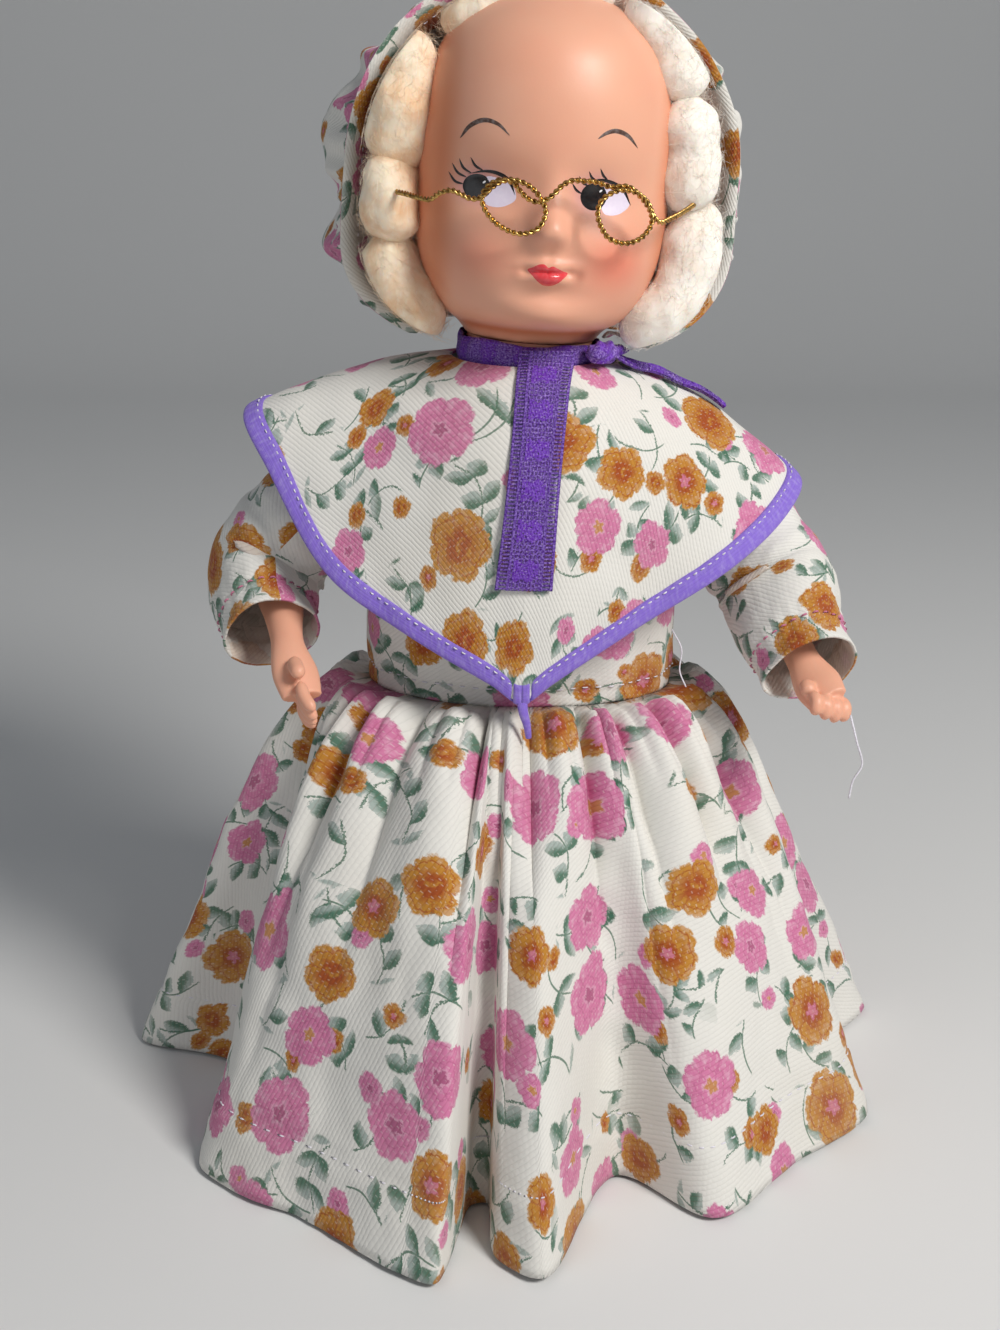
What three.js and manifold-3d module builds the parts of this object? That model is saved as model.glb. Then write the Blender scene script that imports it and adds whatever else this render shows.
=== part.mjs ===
// Grandma doll: a snap-jointed plastic doll in a print dress, cape collar, lace and bonnet.
// Millimetres, +Z up. The doll faces -Y and stands on the plane z = 0.

import * as THREE from "three";
import { mergeVertices } from "three/addons/utils/BufferGeometryUtils.js";
import Module from "manifold-3d";

const wasm = await Module();
wasm.setup();

// Stance, in degrees
const bodyLean = 1.2;
const headTilt = 3;
const headTurn = 3.5;

// Clearances and walls
const gap = 0.3;
const jointPlay = 0.6;
const plasticWall = 2.1;
const clothThickness = 1.2;
const laceThickness = 1;

// Heights of the figure, each measured from the one before
const hipHeight = 92;
const waistAboveHip = 25.5;
const shoulderAboveHip = 87;
const neckAboveShoulder = 26;
const headHeight = 88;

// Torso
const torsoHalfWidth = 34;
const torsoHalfDepth = 21.5;
const neckPostRadius = 17;
const neckPostTop = 9.9;
const neckGrooveRadius = 12.4;
const neckKnobRadius = 14.6;
const neckKnobHeight = 7;
const neckKnobLip = 1.8;
const neckBoreRadius = 7.5;
const neckPostRoot = 14;

// Snap pegs that hold the limbs
const pegRadius = 5;
const pegFlangeRadius = 7.2;
const pegFlangeThickness = 2.4;

// Shoulders and arms
const shoulderSeat = 32;
const shoulderRadius = 13.4;
const shoulderDomeLength = 18;
const upperArmRadius = 7.8;
const wristRadius = 4.2;
const fingerRadius = 1.9;
const domeBuried = 0.64;

// Hips and legs
const hipSeat = 8;
const hipRadius = 15.4;
const legThickness = 23.4;
const shoeLength = 37;
const shoeWidth = 19.6;

// Head
const headHalfWidth = 33.6;
const faceDepth = 36;
const headBackDepth = 39.5;
const headWall = 2.6;

// Dress
const bodiceHalfWidth = 43;
const bodiceHalfDepth = 27.5;
const sleeveHeadRadius = 15.2;
const armholeEase = 3.6;
const sleeveRadius = 16.5;
const cuffRadius = 13;
const sleeveFold = 0.07;
const hemRadius = 112;
const hemFoldDepth = 9;
const hemClearance = 1;
const bodiceNeckEase = 0.4;
const bodiceNeckDrop = 0.9;

// Cape collar and its binding
const collarNeckHeight = 4.5;
const bindingWidth = 5.8;
const bindingThickness = 2.2;

// Lace
const laceBandHeight = 8.2;
const laceBandDrop = 1.5;
const laceEase = 0.4;
const laceStripWidth = 15;
const laceLift = 0.45;
const knotAzimuth = -36;
const knotRadius = 4.3;

// Bonnet and hair
const bonnetSideRoom = 18.8;
const bonnetTopRoom = 8;
const bonnetBackRoom = 18.8;
const bonnetJowl = 0.65;
const brimFront = 1;
const brimDepth = 14;
const brimFlare = 0.12;
const crownFullness = 4.6;
const bonnetClothThickness = 1.6;
const crownPleatDepth = 1.2;
const neckClearRadius = 30.5;
const neckClearHeight = 12.5;
const bonnetClearHeight = 3.6;
const hairRollRadius = 8.4;
const hairEase = 0.8;
const cottonGap = 0.35;

// Spectacles
const wireRadius = 0.7;
const rimRadius = 7.2;

const armRoot = shoulderSeat + shoulderDomeLength * domeBuried;
const waistHeight = hipHeight + waistAboveHip;
const shoulderHeight = hipHeight + shoulderAboveHip;
const neckHeight = shoulderHeight + neckAboveShoulder;
const headBottom = neckPostTop + gap;
const shoulderHeadRadius = shoulderRadius + jointPlay;
const bonnetHalfWidth = headHalfWidth + bonnetSideRoom;
const bonnetHalfHeight = headHeight / 2 + bonnetTopRoom;
const crownFrom = brimDepth - brimFront + gap;
const crownHalfWidth = bonnetHalfWidth + crownFullness;
const crownDepth = headBackDepth + bonnetBackRoom - crownFrom;

const radians = THREE.MathUtils.degToRad;
const lerp = THREE.MathUtils.lerp;
const smoothstep = THREE.MathUtils.smoothstep;
const up = new THREE.Vector3(0, 0, 1);
const point = (x, y, z) => new THREE.Vector3(x, y, z);

// A smooth function through keys [x, value, value...], with each row's x growing.
function curveThrough(keys) {
  const slope = (i, c) => {
    const before = keys[Math.max(i - 1, 0)];
    const after = keys[Math.min(i + 1, keys.length - 1)];
    return (after[c] - before[c]) / (after[0] - before[0]);
  };
  return (x) => {
    let i = 0;
    while (i < keys.length - 2 && x > keys[i + 1][0]) i += 1;
    const [a, b] = [keys[i], keys[i + 1]];
    const width = b[0] - a[0];
    const t = THREE.MathUtils.clamp((x - a[0]) / width, 0, 1);
    const [t2, t3] = [t * t, t * t * t];
    return a.slice(1).map((value, n) => {
      const c = n + 1;
      return (2 * t3 - 3 * t2 + 1) * value + (t3 - 2 * t2 + t) * width * slope(i, c)
        + (3 * t2 - 2 * t3) * b[c] + (t3 - t2) * width * slope(i + 1, c);
    });
  };
}

function signedVolume(geometry) {
  const p = geometry.attributes.position;
  const corner = [point(0, 0, 0), point(0, 0, 0), point(0, 0, 0)];
  let sum = 0;
  for (let i = 0; i < geometry.index.count; i += 3) {
    corner.forEach((v, n) => v.fromBufferAttribute(p, geometry.index.getX(i + n)));
    sum += corner[0].dot(corner[1].clone().cross(corner[2]));
  }
  return sum / 6;
}

// A closed body from points and triangles, with its faces turned outwards.
function bodyOf(points, triangles) {
  const geometry = new THREE.BufferGeometry();
  geometry.setAttribute("position", new THREE.Float32BufferAttribute(points.flatMap((p) => p.toArray()), 3));
  geometry.setIndex(triangles);
  if (signedVolume(geometry) < 0) geometry.setIndex(triangles.toReversed());
  return geometry;
}

// Skins a stack of rings. The ends are closed with a fan, or the last ring meets the first.
function skin(rings, endsMeet = false) {
  const count = rings[0].length;
  const points = rings.flat();
  const triangles = [];
  const bands = endsMeet ? rings.length : rings.length - 1;
  for (let i = 0; i < bands; i += 1) {
    for (let j = 0; j < count; j += 1) {
      const a = i * count + j;
      const b = i * count + ((j + 1) % count);
      const c = ((i + 1) % rings.length) * count + j;
      const d = ((i + 1) % rings.length) * count + ((j + 1) % count);
      triangles.push(a, b, d, a, d, c);
    }
  }
  if (!endsMeet) {
    for (const [ring, turned] of [[0, true], [rings.length - 1, false]]) {
      const centre = points.length;
      points.push(rings[ring].reduce((sum, p) => sum.add(p), point(0, 0, 0)).divideScalar(count));
      for (let j = 0; j < count; j += 1) {
        const a = ring * count + j;
        const b = ring * count + ((j + 1) % count);
        triangles.push(...(turned ? [centre, b, a] : [centre, a, b]));
      }
    }
  }
  return bodyOf(points, triangles);
}

// Normals of a grid of points that closes round each row.
function gridNormals(grid) {
  return grid.map((row, i) => row.map((p, j) => {
    const n = row.length;
    const along = grid[Math.min(i + 1, grid.length - 1)][j].clone().sub(grid[Math.max(i - 1, 0)][j]);
    const round = row[(j + 1) % n].clone().sub(row[(j + n - 1) % n]);
    return round.cross(along).normalize();
  }));
}

// A cloth wall between two distances from a grid of points, counted along its normals.
function clothWall(grid, from, to) {
  const normals = gridNormals(grid);
  const face = (distance) => grid.map((row, i) =>
    row.map((p, j) => p.clone().addScaledVector(normals[i][j], distance)));
  return skin([...face(from), ...face(to).reverse()], true);
}

// A flat strip along a path, with its width across and its thickness along the normals.
function strip(path, across, normals, width, thickness) {
  const rings = path.map((p, i) => [[-0.5, 0], [0.5, 0], [0.5, 1], [-0.5, 1]].map(([s, t]) =>
    p.clone().addScaledVector(across[i], s * width).addScaledVector(normals[i], t * thickness)));
  return skin(rings);
}

function solidOf(geometry) {
  const bare = geometry.clone();
  bare.deleteAttribute("normal");
  bare.deleteAttribute("uv");
  const merged = mergeVertices(bare, 1e-4);
  return new wasm.Manifold(new wasm.Mesh({
    numProp: 3,
    vertProperties: Float32Array.from(merged.attributes.position.array),
    triVerts: Uint32Array.from(merged.index.array),
  }));
}

function geometryOf(solid) {
  const mesh = solid.getMesh();
  const geometry = new THREE.BufferGeometry();
  geometry.setAttribute("position", new THREE.BufferAttribute(mesh.vertProperties, 3));
  geometry.setIndex(new THREE.BufferAttribute(mesh.triVerts, 1));
  return geometry;
}

const union = (...geometries) => geometries.map(solidOf).reduce((a, b) => a.add(b));
const cut = (solid, ...tools) => tools.map(solidOf).reduce((a, b) => a.subtract(b), solid);

// A revolve about the X axis. The profile is [distance along X, radius], from axis to axis.
function turnedOnX(profile, sides, centre) {
  const lathe = new THREE.LatheGeometry(profile.map(([x, r]) => new THREE.Vector2(r, x)), sides);
  lathe.rotateZ(-Math.PI / 2);
  lathe.translate(centre.x, centre.y, centre.z);
  return outward(lathe);
}

// A revolve about the Z axis. The profile is [radius, height], from axis to axis.
function turnedOnZ(profile, sides) {
  const lathe = new THREE.LatheGeometry(profile.map(([r, z]) => new THREE.Vector2(r, z)), sides);
  lathe.rotateX(Math.PI / 2);
  return outward(lathe);
}

function outward(geometry) {
  const bare = geometry.clone();
  bare.deleteAttribute("normal");
  bare.deleteAttribute("uv");
  const merged = mergeVertices(bare, 1e-4);
  const index = Array.from(merged.index.array);
  const whole = [];
  for (let i = 0; i < index.length; i += 3) {
    const [a, b, c] = index.slice(i, i + 3);
    if (a !== b && b !== c && c !== a) whole.push(a, b, c);
  }
  merged.setIndex(whole);
  if (signedVolume(merged) < 0) merged.setIndex(whole.toReversed());
  return merged;
}

// Rings round a path. size(t) gives the two half widths, and shape(angle, t) swells them.
function ringsAlong(path, steps, sides, size, shape = () => 1) {
  const frames = path.computeFrenetFrames(steps, false);
  const rings = [];
  for (let i = 0; i <= steps; i += 1) {
    const t = i / steps;
    const centre = path.getPointAt(t);
    const [a, b] = size(t);
    rings.push(Array.from({ length: sides }, (_, j) => {
      const angle = (j / sides) * 2 * Math.PI;
      const swell = shape(angle, t);
      return centre.clone()
        .addScaledVector(frames.normals[i], Math.cos(angle) * a * swell)
        .addScaledVector(frames.binormals[i], Math.sin(angle) * b * swell);
    }));
  }
  return rings;
}

// A rounded roll along a path: its ends draw in to a dome, over less of the length the blunter it is.
function roll(points, radius, steps, sides, bluntness = 1.6) {
  const path = new THREE.CatmullRomCurve3(points);
  const size = (t) => {
    const end = Math.min(t, 1 - t) * 2;
    const r = radius * Math.sqrt(Math.max(1 - (1 - Math.min(end * bluntness, 1)) ** 2, 0.06));
    return [r, r];
  };
  return skin(ringsAlong(path, steps, sides, size));
}

// Torso: a hollow shell with coaxial seats for the four limbs and a knob for the head.
function torsoGeometry() {
  const top = neckHeight - 2;
  const bottom = hipHeight - pegFlangeRadius - plasticWall - 2;
  const floor = plasticWall / (top - bottom);
  const section = curveThrough([
    [0, 0.55, 0.68], [0.06, 0.9, 0.92], [0.15, 1.03, 1.03], [0.28, 0.96, 0.98], [0.44, 0.93, 0.98],
    [0.64, 1, 1.04], [0.8, 1.06, 0.98], [0.9, 0.95, 0.88], [0.96, 0.7, 0.8], [1, 0.5, 0.78],
  ]);
  const levels = [0, 0.06, 0.15, 0.3, 0.47, 0.64, 0.78, 0.88, 0.95, 1];
  const loft = (inset, from, to, sides) => skin(levels.map((level) => {
    const t = lerp(from, to, level);
    const [w, d] = section(t);
    return Array.from({ length: sides }, (_, j) => {
      const angle = (j / sides) * 2 * Math.PI;
      return point(
        Math.cos(angle) * (torsoHalfWidth * w - inset),
        Math.sin(angle) * (torsoHalfDepth * d - inset),
        lerp(bottom, top, t),
      );
    });
  }));
  const seat = (radius, from, side, height) => {
    const reach = torsoHalfWidth * 2;
    const disc = new THREE.CylinderGeometry(radius, radius, reach - from, 20);
    disc.rotateZ(Math.PI / 2);
    disc.translate(side * (from + (reach - from) / 2), 0, height);
    return disc;
  };
  const thighRoom = (from, side) => {
    const box = new THREE.BoxGeometry(torsoHalfWidth * 2, torsoHalfWidth * 4, hipHeight);
    box.translate(side * (from + torsoHalfWidth), 0, hipHeight / 2);
    return box;
  };
  const hole = (radius, side, from, to, height) => {
    const bore = new THREE.CylinderGeometry(radius, radius, to - from, 16);
    bore.rotateZ(Math.PI / 2);
    bore.translate(side * (from + to) / 2, 0, height);
    return bore;
  };
  const lip = neckPostTop + headWall + 2 * gap;
  const neck = turnedOnZ([
    [0, -neckPostRoot], [neckPostRadius, -neckPostRoot], [neckPostRadius, neckPostTop],
    [neckGrooveRadius, neckPostTop], [neckGrooveRadius, lip], [neckKnobRadius, lip],
    [neckKnobRadius, lip + neckKnobLip],
    [neckKnobRadius * 0.72, neckPostTop + neckKnobHeight], [0, neckPostTop + neckKnobHeight],
  ], 24);
  const neckBore = new THREE.CylinderGeometry(neckBoreRadius, neckBoreRadius, neckPostRadius * 4, 18);
  neckBore.rotateX(Math.PI / 2);
  for (const piece of [neck, neckBore]) {
    piece.rotateY(radians(headTilt));
    piece.translate(0, 0, neckHeight);
  }
  let outer = solidOf(loft(0, 0, 1, 24)).add(solidOf(neck));
  let hollow = solidOf(loft(plasticWall, floor, 0.93, 16));
  for (const side of [-1, 1]) {
    outer = cut(outer,
      seat(shoulderHeadRadius, shoulderSeat, side, shoulderHeight),
      seat(hipRadius + jointPlay, hipSeat, side, hipHeight),
      thighRoom(hipSeat, side));
    hollow = cut(hollow,
      seat(shoulderHeadRadius + plasticWall, shoulderSeat - plasticWall, side, shoulderHeight),
      seat(hipRadius + jointPlay + plasticWall, hipSeat - plasticWall, side, hipHeight),
      thighRoom(hipSeat - plasticWall, side));
  }
  let shell = cut(outer.subtract(hollow), neckBore);
  for (const side of [-1, 1]) {
    shell = cut(shell,
      hole(pegRadius + gap, side, shoulderSeat - plasticWall - 4, shoulderSeat + 4, shoulderHeight),
      hole(pegRadius + gap, side, hipSeat - plasticWall - 1, hipSeat + 2, hipHeight));
  }
  return geometryOf(shell);
}

// The peg and flange that snap into a seat, with the dome that turns against it.
function limbRoot(side, seatAt, radius, domeLength, centre) {
  const flangeOuter = seatAt - plasticWall - gap;
  const face = seatAt + gap;
  const profile = [
    [flangeOuter - pegFlangeThickness, 0],
    [flangeOuter - pegFlangeThickness, pegFlangeRadius * 0.8],
    [flangeOuter - pegFlangeThickness / 2, pegFlangeRadius],
    [flangeOuter, pegFlangeRadius],
    [flangeOuter, pegRadius],
    [face, pegRadius],
    [face, radius],
    [face + domeLength * 0.4, radius],
    [face + domeLength * 0.7, radius * 0.84],
    [face + domeLength * 0.92, radius * 0.48],
    [face + domeLength, 0],
  ].map(([x, r]) => [side * x, r]);
  return turnedOnX(profile, 20, centre);
}

// One finger, bent at its middle.
function finger(from, knuckle, tip, radius) {
  return roll([from, knuckle, tip], radius, 4, 6);
}

// Arm: dome and peg, tapered limb with a bent elbow, and a small moulded hand.
function armGeometry(side, pose) {
  const shoulder = point(0, 0, shoulderHeight);
  const root = point(side * armRoot, 0, shoulderHeight);
  const at = ([x, y, z]) => root.clone().add(point(side * x, y, z));
  const [elbow, wrist, knuckles] = [at(pose.elbow), at(pose.wrist), at(pose.knuckles)];
  const path = new THREE.CatmullRomCurve3([
    root, root.clone().lerp(elbow, 0.5).add(point(side * 2, 0, 2)), elbow, elbow.clone().lerp(wrist, 0.55),
    wrist, wrist.clone().lerp(knuckles, 0.6), knuckles,
  ]);
  const size = curveThrough([
    [0, upperArmRadius, upperArmRadius], [0.25, upperArmRadius, upperArmRadius * 0.97],
    [0.42, upperArmRadius * 0.86, upperArmRadius * 0.86], [0.6, upperArmRadius * 0.84, upperArmRadius * 0.8],
    [0.8, wristRadius, wristRadius * 1.06], [0.92, wristRadius * 0.8, wristRadius * 1.5],
    [1, wristRadius * 0.6, wristRadius * 1.3],
  ]);
  const limb = skin(ringsAlong(path, 13, 12, size));
  const forward = knuckles.clone().sub(wrist).normalize();
  const palm = at(pose.palm).sub(root).normalize();
  const wide = forward.clone().cross(palm).normalize();
  const inward = wide.clone().cross(forward).normalize();
  const step = fingerRadius * 1.75;
  const fingers = [-1.5, -0.5, 0.5, 1.5].map((n) => {
    const base = knuckles.clone().addScaledVector(wide, n * step * 0.95).addScaledVector(forward, -2);
    const length = pose.fingerLength - Math.abs(n - 0.2) * 0.8;
    const knuckle = base.clone().addScaledVector(forward, length * 0.55);
    const tip = knuckle.clone()
      .addScaledVector(forward, length * 0.55 * Math.cos(radians(pose.curl)))
      .addScaledVector(inward, length * 0.55 * Math.sin(radians(pose.curl)));
    return finger(base, knuckle, tip, fingerRadius);
  });
  const thumbBase = wrist.clone().lerp(knuckles, 0.35).addScaledVector(wide, pose.thumbSide * wristRadius);
  const thumbTip = thumbBase.clone()
    .addScaledVector(forward, pose.thumbReach)
    .addScaledVector(wide, pose.thumbSide * pose.thumbSpread);
  const thumb = finger(thumbBase, thumbBase.clone().lerp(thumbTip, 0.5), thumbTip, fingerRadius * 1.1);
  const dome = limbRoot(side, shoulderSeat, shoulderRadius, shoulderDomeLength, shoulder);
  return geometryOf(union(dome, limb, thumb, ...fingers));
}

const rightArmPose = {
  elbow: [26, 4, -31], wrist: [19, -29, -46], knuckles: [14.5, -39.5, -55], palm: [-1, 0.2, 0.1],
  fingerLength: 10, curl: 18, thumbSide: 1, thumbReach: 7.5, thumbSpread: 3.6,
};
const leftArmPose = {
  elbow: [22, -4, -29], wrist: [34, -35, -48], knuckles: [37, -44, -51.5], palm: [-0.2, -0.3, -1],
  fingerLength: 8, curl: 62, thumbSide: -1, thumbReach: 5, thumbSpread: 1.2,
};

// Leg: hip dome and peg in the leaning figure, then a chubby leg and shoe down to a flat sole.
function legGeometry(side) {
  const dome = limbRoot(side, hipSeat, hipRadius, legThickness, point(0, 0, hipHeight));
  dome.rotateY(radians(bodyLean));
  const hip = point(side * (hipSeat + gap + legThickness / 2), 0, hipHeight)
    .applyAxisAngle(point(0, 1, 0), radians(bodyLean));
  const half = legThickness / 2;
  const section = curveThrough([
    [0, shoeWidth * 0.46, shoeLength * 0.48, -shoeLength * 0.2],
    [0.03, shoeWidth * 0.5, shoeLength * 0.5, -shoeLength * 0.2],
    [0.1, shoeWidth * 0.48, shoeLength * 0.46, -shoeLength * 0.17],
    [0.17, shoeWidth * 0.42, shoeLength * 0.29, -shoeLength * 0.04],
    [0.24, half * 0.68, half * 0.76, half * 0.09], [0.4, half * 0.86, half * 0.95, half * 0.12],
    [0.54, half * 0.84, half * 0.88, 0], [0.62, half * 0.88, half * 0.92, 0],
    [0.82, half * 0.96, half * 1.1, 0], [1, half * 0.9, half * 1.08, 0],
  ]);
  const levels = [0, 0.03, 0.08, 0.13, 0.18, 0.24, 0.32, 0.4, 0.48, 0.56, 0.68, 0.84, 1];
  const limb = skin(levels.map((level) => {
    const [w, d, forward] = section(level);
    return Array.from({ length: 18 }, (_, j) => {
      const angle = (j / 18) * 2 * Math.PI;
      return point(hip.x + Math.cos(angle) * w, forward + Math.sin(angle) * d, hip.z * level);
    });
  }));
  return geometryOf(union(dome, limb));
}

// Outline of the head at a height: half width, depth of the face and depth of the back.
const headSection = curveThrough([
  [0, 0.52, 0.48, 0.44], [0.035, 0.6, 0.56, 0.5], [0.07, 0.72, 0.84, 0.62], [0.13, 0.84, 0.96, 0.75],
  [0.22, 0.94, 1, 0.87], [0.34, 0.995, 0.985, 0.96], [0.46, 1, 0.97, 1], [0.6, 0.99, 1.01, 1],
  [0.74, 0.93, 0.98, 0.94], [0.85, 0.8, 0.86, 0.81], [0.93, 0.58, 0.62, 0.6], [0.98, 0.3, 0.33, 0.33],
  [1, 0.05, 0.05, 0.05],
]);

// Swells and hollows of the face: place across and up the head, spread each way, and height.
const faceForms = [
  { across: 0, up: 0.35, wide: 3.3, tall: 3.6, rise: 5.4 },
  { across: 0, up: 0.43, wide: 3, tall: 5.5, rise: 1.6 },
  { across: -13.8, up: 0.44, wide: 6.5, tall: 4.6, rise: -1.7 },
  { across: 13.8, up: 0.44, wide: 6.5, tall: 4.6, rise: -1.7 },
  { across: -17, up: 0.28, wide: 8, tall: 7.5, rise: 1.9 },
  { across: 17, up: 0.28, wide: 8, tall: 7.5, rise: 1.9 },
  { across: 0, up: 0.25, wide: 5, tall: 1.3, rise: 1.7 },
  { across: 0, up: 0.215, wide: 4.2, tall: 1.3, rise: 1.9 },
  { across: 0, up: 0.165, wide: 7, tall: 1.9, rise: -1.1 },
  { across: 0, up: 0.11, wide: 6.5, tall: 3.2, rise: 1.8 },
];

function headPoint(angle, level, inset) {
  const [w, front, back] = headSection(level);
  const [cosine, sine] = [Math.cos(angle), Math.sin(angle)];
  const halfWidth = Math.max(headHalfWidth * w - inset, 0.4);
  const depth = Math.max((sine < 0 ? faceDepth * front : headBackDepth * back) - inset, 0.4);
  let radius = 1 / Math.hypot(cosine / halfWidth, sine / depth);
  if (sine < 0 && inset <= 0) {
    for (const form of faceForms) {
      const across = (cosine * radius - form.across) / form.wide;
      const along = ((level - form.up) * headHeight) / form.tall;
      radius += form.rise * Math.exp(-(across ** 2 + along ** 2) / 2) * Math.min(-sine * 2, 1);
    }
  }
  return point(cosine * radius, sine * radius, headBottom + level * headHeight);
}

// A place counted by the head: shares of its half width, of the face's depth and of its height.
const onHead = ([across, out, level]) =>
  point(across * headHalfWidth, -out * faceDepth, headBottom + level * headHeight);

function headLoft(levels, sides, inset, crowding) {
  return skin(levels.map((level) => Array.from({ length: sides }, (_, j) => {
    const t = (j / sides) * 2 - 1;
    const spread = Math.sign(t) * Math.abs(t) * lerp(1 - crowding, 1, Math.abs(t) ** 1.3);
    return headPoint(-Math.PI / 2 + Math.PI * spread, level, inset);
  })));
}

// Head: a hollow shell whose flat bottom has the opening that snaps over the neck knob.
function headGeometry() {
  const levels = [
    0, 0.035, 0.07, 0.11, 0.15, 0.185, 0.213, 0.236, 0.262, 0.29, 0.32, 0.35, 0.385, 0.43,
    0.48, 0.55, 0.64, 0.73, 0.82, 0.9, 0.96, 0.99,
  ];
  const outer = solidOf(headLoft(levels, 34, 0, 0.5));
  const hollow = solidOf(headLoft([0.03, 0.14, 0.3, 0.5, 0.7, 0.85, 0.94], 16, headWall + 1.6, 0));
  const floor = new THREE.BoxGeometry(headHalfWidth * 3, headBackDepth * 3, headHeight);
  floor.translate(0, 0, headBottom + headWall - headHeight / 2);
  const opening = new THREE.CylinderGeometry(
    neckGrooveRadius + jointPlay, neckGrooveRadius + jointPlay, headWall * 4, 28);
  opening.rotateX(Math.PI / 2);
  opening.translate(0, 0, headBottom + headWall);
  const knobRoom = turnedOnZ([
    [0, headBottom + headWall], [neckKnobRadius + jointPlay, headBottom + headWall],
    [neckKnobRadius + jointPlay, headBottom + neckKnobHeight + 2], [0, headBottom + neckKnobHeight + 2],
  ], 28);
  return geometryOf(cut(outer.subtract(cut(hollow, floor)), opening, knobRoom));
}

// A wider, plainer head that cotton and wire are cut by.
function headEnvelope() {
  const levels = [0, 0.07, 0.16, 0.3, 0.46, 0.64, 0.78, 0.86, 0.92, 0.96, 0.99];
  return headLoft(levels, 24, -hairEase, 0);
}

// Bodice: a stiff cloth shell from the waist to the neck, with round armholes.
function bodiceGeometry() {
  const neckRadius = neckPostRadius + gap + clothThickness + bodiceNeckEase;
  const top = neckHeight - bodiceNeckDrop;
  const rise = top - waistHeight;
  const keys = curveThrough([
    [0, bodiceHalfWidth, bodiceHalfDepth * 0.96], [0.2, bodiceHalfWidth * 1.01, bodiceHalfDepth],
    [0.45, bodiceHalfWidth, bodiceHalfDepth * 1.03], [0.68, bodiceHalfWidth * 0.97, bodiceHalfDepth],
    [0.85, bodiceHalfWidth * 0.88, bodiceHalfDepth * 0.92],
    [0.93, bodiceHalfWidth * 0.7, bodiceHalfDepth * 0.84], [1, neckRadius, neckRadius],
  ]);
  const levels = [0, 0.3, 0.55, 0.75, 0.87, 0.94, 1];
  const grid = levels.map((level) => {
    const [w, d] = keys(level);
    return Array.from({ length: 30 }, (_, j) => {
      const angle = (j / 30) * 2 * Math.PI;
      return point(Math.cos(angle) * w, Math.sin(angle) * d, waistHeight + rise * level);
    });
  });
  const armholeRadius = sleeveHeadRadius + armholeEase;
  const armhole = new THREE.CylinderGeometry(armholeRadius, armholeRadius, bodiceHalfWidth * 4, 20);
  armhole.rotateZ(Math.PI / 2);
  armhole.translate(0, 0, shoulderHeight);
  return geometryOf(cut(solidOf(clothWall(grid, 0, -clothThickness)), armhole));
}

// Hem of the skirt as [azimuth, radius against the hem radius]: the folds' corners and hollows.
const hemFolds = [
  [-178, 0], [-167.5, -28], [-139, -3], [-119, -4], [-100.8, 8], [-97, -25], [-86.5, 3.8], [-69, -33],
  [-60.4, -5.5], [-41.7, -9], [-23.6, -1.7], [-5.1, -15], [8.8, 1.3], [24, -17], [40, -1], [52, -22],
  [66, 2], [79, -24], [91, 6], [106, -25], [119, 1], [133, -22], [147, -2], [163, -21],
];

// A place on the outside of the skirt: k runs round the hem folds, fall from 0 at the waist to 1.
const hemCurve = new THREE.CatmullRomCurve3(hemFolds.map(([azimuth, out]) => point(
  Math.cos(radians(azimuth)) * (hemRadius + out), Math.sin(radians(azimuth)) * (hemRadius + out), 0,
)), true, "centripetal");

function skirtPoint(k, fall) {
  const hem = hemCurve.getPoint(k);
  const azimuth = Math.atan2(hem.y, hem.x);
  const waist = point(
    Math.cos(azimuth) * bodiceHalfWidth, Math.sin(azimuth) * bodiceHalfDepth * 0.96, waistHeight - gap,
  ).applyAxisAngle(point(0, 1, 0), radians(bodyLean));
  const meanRadius = hemRadius - hemFoldDepth;
  const outline = point(Math.cos(azimuth), Math.sin(azimuth), 0);
  const spread = fall ** 0.62;
  const fold = (Math.hypot(hem.x, hem.y) - meanRadius) * fall ** 1.1;
  return waist.clone().setZ(0).multiplyScalar(1 - spread)
    .addScaledVector(outline, meanRadius * spread + fold)
    .setZ(lerp(waist.z, hemClearance, fall));
}

function skirtGeometry() {
  const columns = hemFolds.length * 3;
  const falls = [0, 0.016, 0.05, 0.13, 0.28, 0.5, 0.76, 1];
  const grid = falls.map((fall) => Array.from({ length: columns }, (_, j) => skirtPoint(j / columns, fall)));
  return clothWall(grid, 0, clothThickness);
}

// Sleeve: a loose tube, round about the shoulder axis where it leaves the bodice.
function sleeveGeometry(side, pose) {
  const axisPoint = (x) => point(side * x, 0, shoulderHeight);
  const root = axisPoint(armRoot);
  const at = ([x, y, z]) => root.clone().add(point(side * x, y, z));
  const start = shoulderSeat + 5.5;
  const path = new THREE.CatmullRomCurve3([
    axisPoint(start), axisPoint(start + 4.5), axisPoint(start + 9), at(pose.crest), at(pose.bend),
    at(pose.elbow), at(pose.forearm), at(pose.cuff),
  ]);
  const size = curveThrough([
    [0, sleeveHeadRadius, sleeveHeadRadius], [0.12, sleeveHeadRadius, sleeveHeadRadius],
    [0.24, sleeveHeadRadius * 0.83, sleeveHeadRadius * 0.92], [0.4, sleeveRadius * 0.94, sleeveRadius * 0.9],
    [0.62, sleeveRadius, sleeveRadius], [0.85, cuffRadius * 1.12, cuffRadius * 1.1],
    [1, cuffRadius, cuffRadius],
  ]);
  const folds = (angle, t) => {
    const grown = smoothstep(t, 0.3, 0.6) * (1 - 0.5 * smoothstep(t, 0.8, 1));
    return 1 + sleeveFold * grown * Math.sin(3 * angle + pose.foldPhase);
  };
  const outer = ringsAlong(path, 12, 14, size, folds);
  const inner = ringsAlong(path, 12, 14, (t) => size(t).map((r) => r - clothThickness), folds);
  return skin([...outer, ...inner.reverse()], true);
}

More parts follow.
